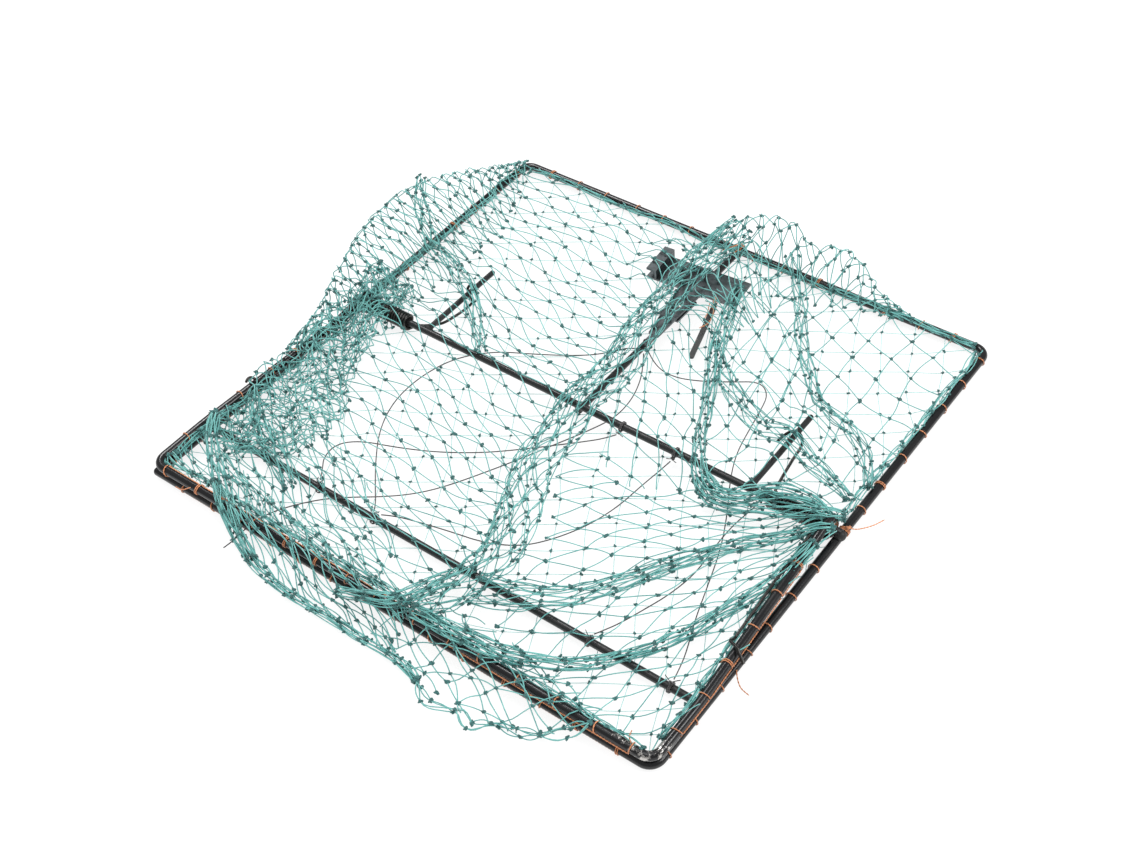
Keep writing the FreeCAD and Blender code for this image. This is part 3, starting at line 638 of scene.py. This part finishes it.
LEFT_FIELD = [
    (-195, -195), (17, -195), (25, -169), (28, -135), (15, -95), (-2, -61), (-5, -13), (-5, 92),
    (-7, 153), (0, 195), (-195, 195),
]
RIGHT_REAR_FIELD = [
    (8, 195), (195, 195), (195, 6), (160, 6), (125, -12), (111, -16), (92, 6), (59, 71), (36, 125),
    (20, 160),
]
MIDDLE_FIELD = [
    (15, 150), (12, 92), (14, -13), (60, -40), (111, -18), (92, 6), (59, 71), (36, 125),
]
RIGHT_FRONT_FIELD = [
    (14, -13), (28, -61), (40, -95), (52, -135), (45, -169), (38, -195), (195, -195), (195, -2),
    (111, -18), (60, -38),
]
BETWEEN_ROPES = [
    (34, 195), (66, 173), (88, 138), (112, 110), (132, 90), (160, 80), (150, 44), (125, 48), (88, 63),
    (60, 82), (46, 100),
]
FRONT_LEFT = [
    (-195, -195), (-10, -195), (-20, -165), (-70, -130), (-120, -110), (-165, -120), (-195, -150),
]
FAN_CENTRE = (206.0, 12.0)


def fan(u, v):
    """Net drawn together at the right end of the axle, so that its strands spread from there."""
    reach = 18 + 212 * u
    angle = np.radians(176 + 97 * v)
    place = np.stack([FAN_CENTRE[0] + reach * np.cos(angle), FAN_CENTRE[1] + reach * np.sin(angle)], axis=-1)
    place = wander(place, 2.5)
    return np.concatenate([place, lying(place[..., 0], place[..., 1])[..., None]], axis=-1)


def fan_field():
    """The part of the fan in front of the ropes at the right."""
    paths, knots = diamonds(fan, 11, 36)
    paths = paths[inside(RIGHT_FRONT_FIELD, paths.mean(axis=1))]
    return paths, knots[inside(RIGHT_FRONT_FIELD, knots)]


def selvedge():
    """The bunched edge of the net, tied along the inner side of every rod."""
    side = HALF - 3
    front = ((-side, 6 - side), (side - 6, -side))
    right = ((side - 2, 4), (side, side - 6))
    back_right = ((side - 6, side), (80, side))
    left = ((-side, 84), (-side, 0))
    made = []
    for start, end in (front, right, back_right, left):
        t = np.linspace(0, 1, max(12, int(math.dist(start, end) / 17)))[:, None]
        plan = np.array(start) * (1 - t) + np.array(end) * t + rng.normal(0, 0.8, (len(t), 2))
        made.append(rolled(np.column_stack([plan, np.full(len(t), 6.0)]), 1.8, 2.5, 6, bow=1.6))
    for sign in (-1, 1):
        depths = np.linspace(12 - side, -14, 13)
        line = [(sign * (arm_x(y) - 5.0 + rng.normal(0, 0.5)), y, 8.0) for y in depths]
        made.append(rolled(line, 1.6, 2.5, 6, bow=1.4))
    back_left = ((80, side - 2), (6 - side, side - 2))
    rear_left = ((-side, side - 8), (-side, 84))
    for start, end in (back_left, rear_left):
        t = np.linspace(0, 1, 9)[:, None]
        plan = np.array(start) * (1 - t) + np.array(end) * t + rng.normal(0, 1.2, (len(t), 2))
        made.append(rolled(np.column_stack([plan, np.full(len(t), 4.5)]), 1.6, 2, 4, 26))
    return made


def upper_net():
    """Every part of the upper net, as bars and knots."""
    made = [diamonds(left_billow, 7, 52, 0.22, 1.8), diamonds(back_hump, 6, 26, 0.22, 2.2)]
    arches, arch_knots = diamonds(trigger_cover, 3, 18, 0.2, 2.5)
    made.append((arches, arch_knots[::4]))
    for layer, size in enumerate([(24, 10), (32, 7), (18, 11), (27, 8)]):
        paths, knots = diamonds(left_gather(layer), *size, 0.3, 2.0)
        made.append((paths, knots[::2]))
    made += [rolled(SKIRT_EDGE, 2.4, 3, 10, bow=1.0), rolled(SKIRT_LOOPS, 2.5, 2, 4, 14, 2.0)]
    made.append(field(SKIRT_LEFT, (-60, -205), (23.3, -3.3), (18.8, -13.6), 1.2, draped))
    made.append(field(SKIRT_LEFT, (-50, -209), (23.0, -5.5), (20.6, -10.0), 1.6, draped))
    made.append(field(SKIRT_RIGHT, (80, -205), (16.0, -5.0), (11.0, 13.0), 1.4, draped))
    made.append(field(SKIRT_RIGHT, (84, -210), (17.5, -9.0), (16.0, 5.0), 1.6, draped))
    made.append(rolled(ROLL, ROLL_HALF_WIDTH, ROLL_HEIGHT, 14, 13, 2.2))
    beside = [(x - 9, y, z) for x, y, z in ROLL]
    made.append(rolled(beside, (5, 7, 6, 5), (6, 9, 8, 8), 6, 22, 2.0))
    made += [rolled(line, width, height, rows, 19) for line, width, height, rows in ROPES.values()]
    made += selvedge()
    made.append(field(LEFT_FIELD, (-95, 0), (24, 0.5), (22.5, -12.2), 0.8))
    made.append(field(RIGHT_REAR_FIELD, (150, 135), (0.5, -22.8), (22.6, -8.0), 1.2))
    made.append(field(MIDDLE_FIELD, (40, 40), (22, -6), (12, -20), 1.2))
    made.append(field(BETWEEN_ROPES, (100, 120), (4, -22.5), (20, -12), 1.6))
    made.append(field(FRONT_LEFT, (-120, -160), (19.8, -12.6), (22.9, -5), 1.6))
    made.append(fan_field())
    return np.concatenate([paths for paths, _ in made]), np.concatenate([knots for _, knots in made])


def knot_mesh(places, size=1.0, thick=0.55):
    """A small tight knot at each place, turned to its own heading."""
    t = np.linspace(0, 2 * math.pi, 15)
    loop = np.column_stack([np.sin(t) + 2 * np.sin(2 * t), np.cos(t) - 2 * np.cos(2 * t), -np.sin(3 * t)])
    verts, faces = tube_mesh([loop * 0.40], thick, 6)
    angle = rng.uniform(0, 2 * math.pi, len(places))
    ahead = np.column_stack([np.cos(angle), np.sin(angle), rng.normal(0, 0.2, len(places))])
    side = np.column_stack([-np.sin(angle), np.cos(angle), np.zeros(len(places))])
    grown = size * rng.uniform(0.85, 1.15, len(places))[:, None, None]
    body = verts[None, :, 0:1] * ahead[:, None] * 1.2 + verts[None, :, 1:2] * side[:, None] * 0.85
    body = body + verts[None, :, 2:3] * np.array([0.1, 0.0, 1.0])
    placed = places[:, None] + grown * body
    offsets = np.arange(len(places))[:, None, None] * len(verts)
    return placed.reshape(-1, 3), (faces[None] + offsets).reshape(-1, 4)


def make_upper_net():
    """The upper net in quarters, tied to the flip frame in front of the axle and to the base behind it."""
    paths, knots = upper_net()
    paths[..., 2] = np.maximum(paths[..., 2], CORD_R + 0.2)
    knots[:, 2] = np.maximum(knots[:, 2], KNOT_LOWEST)
    middle = paths.mean(axis=1)
    quarters = {
        "front_left": ("flip", -1, -1, ["net_front"]), "front_right": ("flip", 1, -1, []),
        "back_left": ("base", -1, 1, ["net_back", "net_billow"]), "back_right": ("base", 1, 1, []),
    }
    for name, (body, x_sign, y_sign, nodes) in quarters.items():
        strands = paths[(x_sign * middle[:, 0] >= 0) & (y_sign * middle[:, 1] > 0)]
        lumps = knots[(x_sign * knots[:, 0] >= 0) & (y_sign * knots[:, 1] > 0)]
        cords = mesh_object(f"net_{name}_cords", *tube_mesh(strands, CORD_R), NET)
        ties = mesh_object(f"net_{name}_knots", *knot_mesh(lumps), SHADED_NET_KNOT)
        ride_and_replace(cords, body, "net_cord", *nodes)
        ride_and_replace(ties, body, "net_cord")
        for piece in (cords, ties):
            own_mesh(piece)


def ground_height(plan):
    """The ground net lies flat and climbs to the rods over its last few centimetres."""
    edge = HALF - np.abs(plan).max(axis=-1)
    return 0.8 + 4.2 * np.clip(1 - edge / 30, 0, 1) ** 2


def make_ground_net():
    """The stretched square net under the bars, at a slant to the frame."""
    one, two = np.array((16.6, 11.0)), np.array((-9.2, 17.4))
    steps = range(-19, 20)
    spot = {(i, j): wander(i * one + j * two, 2.5) + rng.normal(0, 0.7, 2) for i in steps for j in steps}
    limit = HALF - 1
    paths = []
    for (i, j), here in spot.items():
        for other in ((i + 1, j), (i, j + 1)):
            if other in spot:
                line = here + np.linspace(0, 1, 41)[:, None] * (spot[other] - here)
                line = line[np.abs(line).max(axis=1) <= limit]
                if len(line) > 4:
                    picks = np.linspace(0, len(line) - 1, BAR_POINTS)
                    run = [np.interp(picks, range(len(line)), line[:, k]) for k in (0, 1)]
                    paths.append(np.column_stack(run))
    paths = np.array(paths)
    paths = np.concatenate([paths, ground_height(paths)[..., None]], axis=2)
    lumps = np.array([p for p in spot.values() if np.abs(p).max() < limit - 4])
    lumps = np.column_stack([lumps, ground_height(lumps) + 0.5])
    cords = mesh_object("ground_net_cords", *tube_mesh(paths, GROUND_CORD_R), NET_PALE)
    knots = mesh_object("ground_net_knots", *knot_mesh(lumps, 0.7), SHADED_NET_KNOT)
    ride_and_replace(cords, "base", "net_cord", "net_ground")
    ride_and_replace(knots, "base", "net_cord")


# ---------------------------------------------------------------- lashing, knots and tails

TWINE_R = 0.40
TWINE_LOWEST = 0.5
PLY_LAY = 2.2


def twisted(path, radius):
    """Two plies wound round a path of points."""
    path = np.asarray(path, float)
    run = np.concatenate([[0], np.cumsum(np.linalg.norm(np.diff(path, axis=0), axis=1))])
    count = max(8, int(run[-1] / 0.5))
    places = np.linspace(0, run[-1], count)
    line = np.column_stack([np.interp(places, run, path[:, k]) for k in range(3)])
    heading = unit(np.gradient(line, axis=0))
    side = unit(np.cross(heading, (0.31, 0.22, 0.93)))
    other = np.cross(heading, side)
    phase = places / PLY_LAY * math.pi
    plies = []
    for start in (0, math.pi):
        swing = np.cos(phase + start)[:, None] * side + np.sin(phase + start)[:, None] * other
        plies.append(line + swing * radius * 0.5)
    return tube_mesh(plies, radius * 0.56, 6)


def hitched(centre, places, inward, rest):
    """Twine that runs along a rod and takes one turn round it at each place, or two at some.

    centre(s) is the middle of the rod at a distance s, inward its side towards the net, and rest the angle
    from that side at which the twine runs between its turns.
    """
    inward = np.array(inward, float)
    points = []
    for place in places:
        place = place + rng.uniform(-3.0, 3.0)
        slope = rng.uniform(-1.1, 1.1)
        turns = 1.0 + (rng.random() < 0.2)
        for turn in np.linspace(0, turns, int(26 * turns)):
            angle = rest + 2 * math.pi * turn
            s = place + (turn - turns / 2) * 1.2 + slope * math.sin(angle)
            swing = math.cos(angle) * inward + math.sin(angle) * UPWARD
            points.append(centre(s) + (ROD_R + 0.5) * swing)
    return points


WRAP_PITCH = 26.4
SIDE_WRAPS = np.array([k for k in range(-7, 8) if k != 0]) * WRAP_PITCH
END_WRAPS = (np.arange(-7, 7) + 0.5) * WRAP_PITCH
ARM_WRAPS = -(np.arange(6, 0, -1) + 0.5) * WRAP_PITCH
FRONT_WRAPS = np.arange(-7, 8) * WRAP_PITCH
UNDER_OUTER = math.radians(245)
OUTER = math.radians(195)
TOP_INNER = math.radians(60)

TWINE_TAILS = {
    "base": [
        [(199.5, 7, 8), (203, 9, 7), (206, 14, 5), (210, 21, 4), (213, 28, 4)],
        [(199.5, -118, 6), (202, -121, 3.5), (206, -124, 1.4), (213, -126, 1.4)],
        [(0, 193, 11), (-3, 188, 12), (-6, 184, 11), (-7, 178, 10)],
        [(1, 193, 11), (4, 189, 13), (3, 184, 12)],
    ],
    "flip": [
        [(182, -196, 15.5), (178, -192, 13), (176, -187, 11)],
        [(-160, -200, 14), (-166, -203, 11), (-172, -203, 10)],
    ],
    "trigger": [
        [(18, 131, 11.4), (23, 127, 11.8), (27, 120, 11.2), (28, 112, 10.6), (26, 105, 11)],
        [(18, 131, 11.4), (20, 126, 12.2), (23, 120, 12.4), (24, 115, 11.8)],
    ],
}
TWINE_KNOTS = {"base": [(199.4, 7, 8.2), (0, 195, 9.6), (-0.6, 193, 11), (0.8, 196, 10.6)]}


def arm_x(y):
    """Centre of the flip frame's arm at a depth y, which is 0 at the axle and negative in front."""
    return ARM_ROOT_X + (HALF - ARM_ROOT_X) * min(max((-y - 30) / 122, 0), 1)


def loop_round(centre, along, radius, turns):
    """Points of turns of cord round an axis."""
    along = unit(np.array(along, float))
    side = unit(np.cross(along, (0.2, 0.3, 0.93)))
    other = np.cross(along, side)
    angle = np.linspace(0, 2 * math.pi * turns, 30 * turns)
    swing = np.cos(angle)[:, None] * side + np.sin(angle)[:, None] * other
    return np.array(centre) + radius * swing + along * (angle / (2 * math.pi) - turns / 2)[:, None] * 0.9


def make_lashings():
    """The twine of each body: wraps at an even pitch on every rod, the tied ends and their knots."""
    lines = {"base": [], "flip": [], "trigger": []}
    for sign in (-1, 1):
        side = lambda s, x=sign * HALF: np.array([x, s, BASE_Z])
        end = lambda s, y=sign * HALF: np.array([s, y, BASE_Z])
        arm = lambda s, sign=sign: np.array([sign * arm_x(s), s, FLIP_Z])
        lines["base"].append(hitched(side, SIDE_WRAPS, (-sign, 0, 0), UNDER_OUTER))
        lines["base"].append(hitched(end, END_WRAPS, (0, -sign, 0), UNDER_OUTER))
        lines["flip"].append(hitched(arm, ARM_WRAPS, (-sign, 0, 0), OUTER))
    front = lambda s: np.array([s, -HALF, FLIP_Z])
    lines["flip"].append(hitched(front, FRONT_WRAPS[:9], (0, 1, 0), TOP_INNER))
    lines["flip"].append(hitched(front, FRONT_WRAPS[9:], (0, 1, 0), OUTER))
    lines["base"].append(loop_round((0.5, HALF, BASE_Z), (1, 0, 0), ROD_R + 1.8, 4))
    lines["base"].append(loop_round((HALF, 6.5, BASE_Z), (0, 1, 0.2), ROD_R + 0.5, 3))
    lines["trigger"].append(loop_round((19.85, 133.85, 8.2), (0.95, 0.32, 0), 5.3, 2))
    for body, tails in TWINE_TAILS.items():
        lines[body] += [rounded(tail, np.linspace(0, 1, 24)) for tail in tails]
    replaced = {"base": ["base_lashing", "back_knot"], "flip": ["flip_lashing"], "trigger": ["latch_tie"]}
    for body, paths in lines.items():
        parts = [twisted(np.maximum(path, (-np.inf, -np.inf, TWINE_LOWEST)), TWINE_R) for path in paths]
        knots = TWINE_KNOTS.get(body, [])
        if knots:
            parts.append(knot_mesh(np.array(knots, float), 1.4, 0.5))
        piece = mesh_object(f"{body}_twine", *joined(parts), TWINE)
        ride_and_replace(piece, body, "lashing_twine", *replaced[body])


BAR_KNOTS = [(x, BAR_Y, 4.35) for x in (-97, -50, 118, 175)]
AXLE_KNOTS = [(x, 0, AXLE_Z) for x in (36, 78, 143.5)]


def make_thread_knots():
    """The trip lines' hitches on the cross bar and the axle, each with a knot and two short ends."""
    parts = []
    for x, y, z in BAR_KNOTS + AXLE_KNOTS:
        parts.append(tube_mesh([loop_round((x, y, z), (1, 0, 0), 3.4, 2)], 0.36))
        lean = UPWARD if y < 0 else np.array([0, -0.85, -0.53])
        knot = np.array([x, y, z]) + lean * 4.3
        parts.append(knot_mesh(knot[None], 0.95, 0.6))
        for way in (-1, 1):
            spread = np.array([way * rng.uniform(2, 5), rng.uniform(-3, 3), rng.uniform(0, 2)])
            end = knot + lean * 2 + spread
            bend = knot + lean * 1.6 + np.array([way * 1.5, 0, 0.8])
            parts.append(tube_mesh([rounded([knot, bend, end], np.linspace(0, 1, 10))], 0.3))
    piece = mesh_object("trip_line_hitches", *joined(parts), TRIP)
    ride_and_replace(piece, "base", "trip_thread", "trip_line_knots")


# ---------------------------------------------------------------- springs

WIRE_R = 1.0
WIRE_SIDES = 12
COIL_OUTER_X = 183.2
FRONT_TURN_X = COIL_OUTER_X + 2.2
COIL_MEAN_R = 5.1
COIL_PITCH = 2.3
COIL_TURNS = 15
BACK_LEGS = {
    "left": [
        (-145.5, 5, 4.4), (-139, 9.5, 4.6), (-132.5, 15.5, 5.0), (-128.6, 25, 6.2), (-126.4, 36, 7.0),
        (-126.8, 42, 6.7), (-129.6, 46, 5.9), (-134, 49, 5.7), (-137.4, 51, 8.8), (-135.8, 53, 12.2),
        (-131.6, 52.8, 12.9), (-127.8, 49.8, 10.6), (-124.2, 46.6, 7.6),
    ],
    "right": [
        (146.2, 8, 4.5), (143.6, 21, 5.2), (142.2, 33, 6.2), (141.4, 42, 7.4), (141.3, 48, 8.8),
        (139.6, 52.6, 10.8), (136.4, 54.9, 12.5), (132.4, 54.8, 13.0), (128.9, 52.4, 11.2), (126.7, 49, 9.0),
        (125.4, 45.4, 7.0),
    ],
}
LEFT_FRONT_LEG = [
    (-186.0, -25, 13.9), (-186.4, -50, 13.2), (-187.6, -75, 12.8), (-189.2, -98, 12.6),
    (-190.4, -104.5, 14.4), (-193.2, -106.6, 16.7), (-196.8, -107.3, 17.1), (-199.9, -108.3, 14.8),
    (-201.1, -109.4, 12.2),
]


def wire_piece(name, body, start, leg, leg_points, node):
    """A spring's wire that starts as a wound length and goes on as a leg."""
    path = np.concatenate([start, rounded([start[-1]] + leg, np.linspace(0, 1, leg_points)[1:])])
    piece = mesh_object(name, *tube_mesh([path], WIRE_R, WIRE_SIDES), SPRING)
    ride_and_replace(piece, body, "spring_steel", node)


def make_springs():
    """Each spring's coil with the leg that hooks over its lever, and the left spring's front leg."""
    turn = np.linspace(-2 * math.pi * COIL_TURNS, 0, COIL_TURNS * 28 + 1)
    out = COIL_OUTER_X - COIL_PITCH * COIL_TURNS * np.linspace(0, 1, len(turn))
    for side, leg in BACK_LEGS.items():
        sign = math.copysign(1, leg[0][0])
        coil = np.column_stack([sign * out, COIL_MEAN_R * np.sin(turn), AXLE_Z - COIL_MEAN_R * np.cos(turn)])
        wire_piece(f"{side}_spring_wire", "base", coil, leg, 90, f"{side}_spring_coil")
    turn = np.radians(np.linspace(-60, -360, 30))
    place = np.full(len(turn), -FRONT_TURN_X)
    end_turn = np.column_stack([place, COIL_MEAN_R * np.sin(turn), AXLE_Z + COIL_MEAN_R * np.cos(turn)])
    wire_piece("left_spring_hook", "flip", end_turn, LEFT_FRONT_LEG, 120, "left_spring_leg")


# ---------------------------------------------------------------- trip lines

TRIP_LINES = {
    "trip_line_1": [
        (9.6, 67.8, 8.6), (18, 62.5, 5.0), (33, 62, 2.4), (50, 69, 1.8), (68, 80, 1.8), (84, 91, 1.8),
        (95, 84, 1.8), (99, 68, 1.9), (103, 46, 2.6), (108, 24, 4.0), (117, 3, 4.1), (130, -20, 2.5),
        (142, -46, 1.8), (151, -74, 1.8), (159, -100, 1.8), (168, -122, 2.4), (172.5, -137, 5.0),
        (174.6, -144.2, 7.6),
    ],
    "trip_line_2": [
        (3.4, 67.6, 8.6), (-4.5, 65.5, 8.0), (-12.5, 60, 5.0), (-25, 50, 2.4), (-42, 39, 1.9),
        (-62, 27, 2.6), (-84, 14, 4.0), (-103, -7, 4.0), (-112, -33, 2.4), (-112, -60, 1.8),
        (-102, -86, 1.8), (-84, -110, 1.8), (-66, -130, 2.8), (-57, -139, 5.4), (-52.4, -145.2, 7.8),
    ],
    "trip_line_3": [
        (6.8, 65.4, 8.0), (11.5, 58, 5.2), (17.5, 46, 2.9), (23, 28, 3.2), (24, 8, 4.1), (17, -10, 4.0),
        (6, -31, 3.3), (-8, -57, 1.9), (-22, -83, 1.8), (-34, -104, 2.2), (-45, -120, 4.2),
        (-58, -134, 7.0), (-72, -144.5, 7.9), (-87, -156, 7.4), (-99, -170, 7.2), (-107, -184, 7.7),
        (-110, -196, 8.0), (-111.5, -203.5, 6.0), (-113.5, -210.5, 2.6), (-116, -217.5, 0.9),
    ],
    "trip_line_4": [
        (35, -5.8, 6.2), (29, -11, 3.6), (18, -20, 2.0), (4, -33, 1.8), (-12, -48, 1.8), (-32, -65, 1.8),
        (-57, -81, 2.0), (-81, -93, 3.2), (-104, -101, 3.0), (-117, -111, 1.8), (-116, -125, 2.4),
        (-106.5, -136, 4.6), (-99.5, -144.5, 7.6),
    ],
    "trip_line_5": [
        (77.6, -5.9, 6.2), (75, -14, 3.2), (72, -30, 1.9), (70, -52, 1.8), (64, -74, 1.8), (54, -94, 1.8),
        (40, -112, 1.8), (19, -123, 1.8), (-6, -128, 1.8), (-27, -134, 3.0), (-40, -140, 6.0),
        (-46.2, -145.4, 8.2),
    ],
    "trip_line_6": [
        (119.0, -144.4, 8.0), (120.5, -138, 5.4), (124, -127, 2.6), (129, -112, 1.8), (136, -92, 1.9),
        (140, -70, 2.2), (138.5, -47, 3.2), (138.5, -28, 3.6), (141, -14, 4.4), (143.2, -6.2, 6.4),
    ],
}
THREAD_D = 0.8


def make_trip_lines():
    """The six thin dark threads on the ground net, each from where it is tied."""
    for name, points in TRIP_LINES.items():
        curve = bpy.data.curves.new(f"{name}_thread", "CURVE")
        curve.dimensions = "3D"
        spline = curve.splines.new("NURBS")
        spline.points.add(len(points) - 1)
        for point, (x, y, z) in zip(spline.points, points):
            point.co = (x * MM, y * MM, z * MM, 1)
        spline.order_u = 3
        spline.use_endpoint_u = True
        curve.bevel_depth = THREAD_D / 2 * MM
        curve.bevel_resolution = 2
        curve.materials.append(TRIP)
        obj = bpy.data.objects.new(f"{name}_thread", curve)
        bpy.context.scene.collection.objects.link(obj)
        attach(obj, "base")
        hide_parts(name)


# ---------------------------------------------------------------- stage

FLOOR_HALF = 6.0
FLOOR_Z = -0.0005
LIGHTS = [
    # name, place in metres, power in watts and width in metres
    ("key", (-0.9, 0.5, 1.5), 12.0, 0.5),
    ("fill", (1.3, 0.4, 1.1), 9.0, 0.6),
    ("top", (0.0, -0.2, 1.9), 8.0, 1.0),
]


def make_stage():
    """A plain white floor, a bright surround and soft lights."""
    mesh = bpy.data.meshes.new("floor")
    corners = [(x * FLOOR_HALF, y * FLOOR_HALF, FLOOR_Z) for x, y in ((-1, -1), (1, -1), (1, 1), (-1, 1))]
    mesh.from_pydata(corners, [], [(0, 1, 2, 3)])
    floor = bpy.data.objects.new("floor", mesh)
    bpy.context.scene.collection.objects.link(floor)
    material, _, shader = new_material("floor_white")
    shader.inputs["Base Color"].default_value = (0.19, 0.19, 0.19, 1)
    shader.inputs["Roughness"].default_value = 0.9
    shader.inputs["Specular IOR Level"].default_value = 0.0
    shader.inputs["Emission Color"].default_value = (1, 1, 1, 1)
    shader.inputs["Emission Strength"].default_value = 0.84
    mesh.materials.append(material)
    make_surround()
    for name, place, power, width in LIGHTS:
        light = bpy.data.lights.new(name, "AREA")
        light.energy = power
        light.size = width
        lamp = bpy.data.objects.new(name, light)
        lamp.location = place
        lamp.rotation_euler = (-Vector(place)).to_track_quat("-Z", "Y").to_euler()
        bpy.context.scene.collection.objects.link(lamp)


def make_surround():
    """A bright even surround that is darker in reflections, as in a room with a few large lamps."""
    world = bpy.data.worlds.new("surround")
    bpy.context.scene.world = world
    world.use_nodes = True
    tree = world.node_tree
    background = tree.nodes["Background"]
    background.inputs["Color"].default_value = (1, 1, 1, 1)
    rays = tree.nodes.new("ShaderNodeLightPath")
    strength = tree.nodes.new("ShaderNodeMapRange")
    strength.inputs["To Min"].default_value = 1.15
    strength.inputs["To Max"].default_value = 0.35
    tree.links.new(rays.outputs["Is Glossy Ray"], strength.inputs["Value"])
    tree.links.new(strength.outputs["Result"], background.inputs["Strength"])


CAMERA_PLACE = Vector((0.47449, -0.56667, 0.74582))
CAMERA_FORWARD = Vector((-0.45339, 0.53147, -0.71552)).normalized()
CAMERA_ROLL = math.radians(-5.0)
SENSOR_MM = 36
LENS_MM = 49.7747


def make_camera():
    """A camera above the front right corner that looks down at the part."""
    camera = bpy.data.cameras.new("camera")
    camera.sensor_width = SENSOR_MM
    camera.lens = LENS_MM
    level = CAMERA_FORWARD.cross(Vector((0, 0, 1))).normalized()
    right = Matrix.Rotation(-CAMERA_ROLL, 3, CAMERA_FORWARD) @ level
    up = right.cross(CAMERA_FORWARD)
    obj = bpy.data.objects.new("camera", camera)
    turn = Matrix((right, up, -CAMERA_FORWARD)).transposed()
    obj.matrix_world = Matrix.Translation(CAMERA_PLACE) @ turn.to_4x4()
    bpy.context.scene.collection.objects.link(obj)
    bpy.context.scene.camera = obj


make_camera()
make_stage()
paint_nodes()
make_trip_lines()
make_lashings()
make_thread_knots()
make_springs()
make_ground_net()
make_upper_net()
bpy.context.scene.view_settings.view_transform = "Standard"
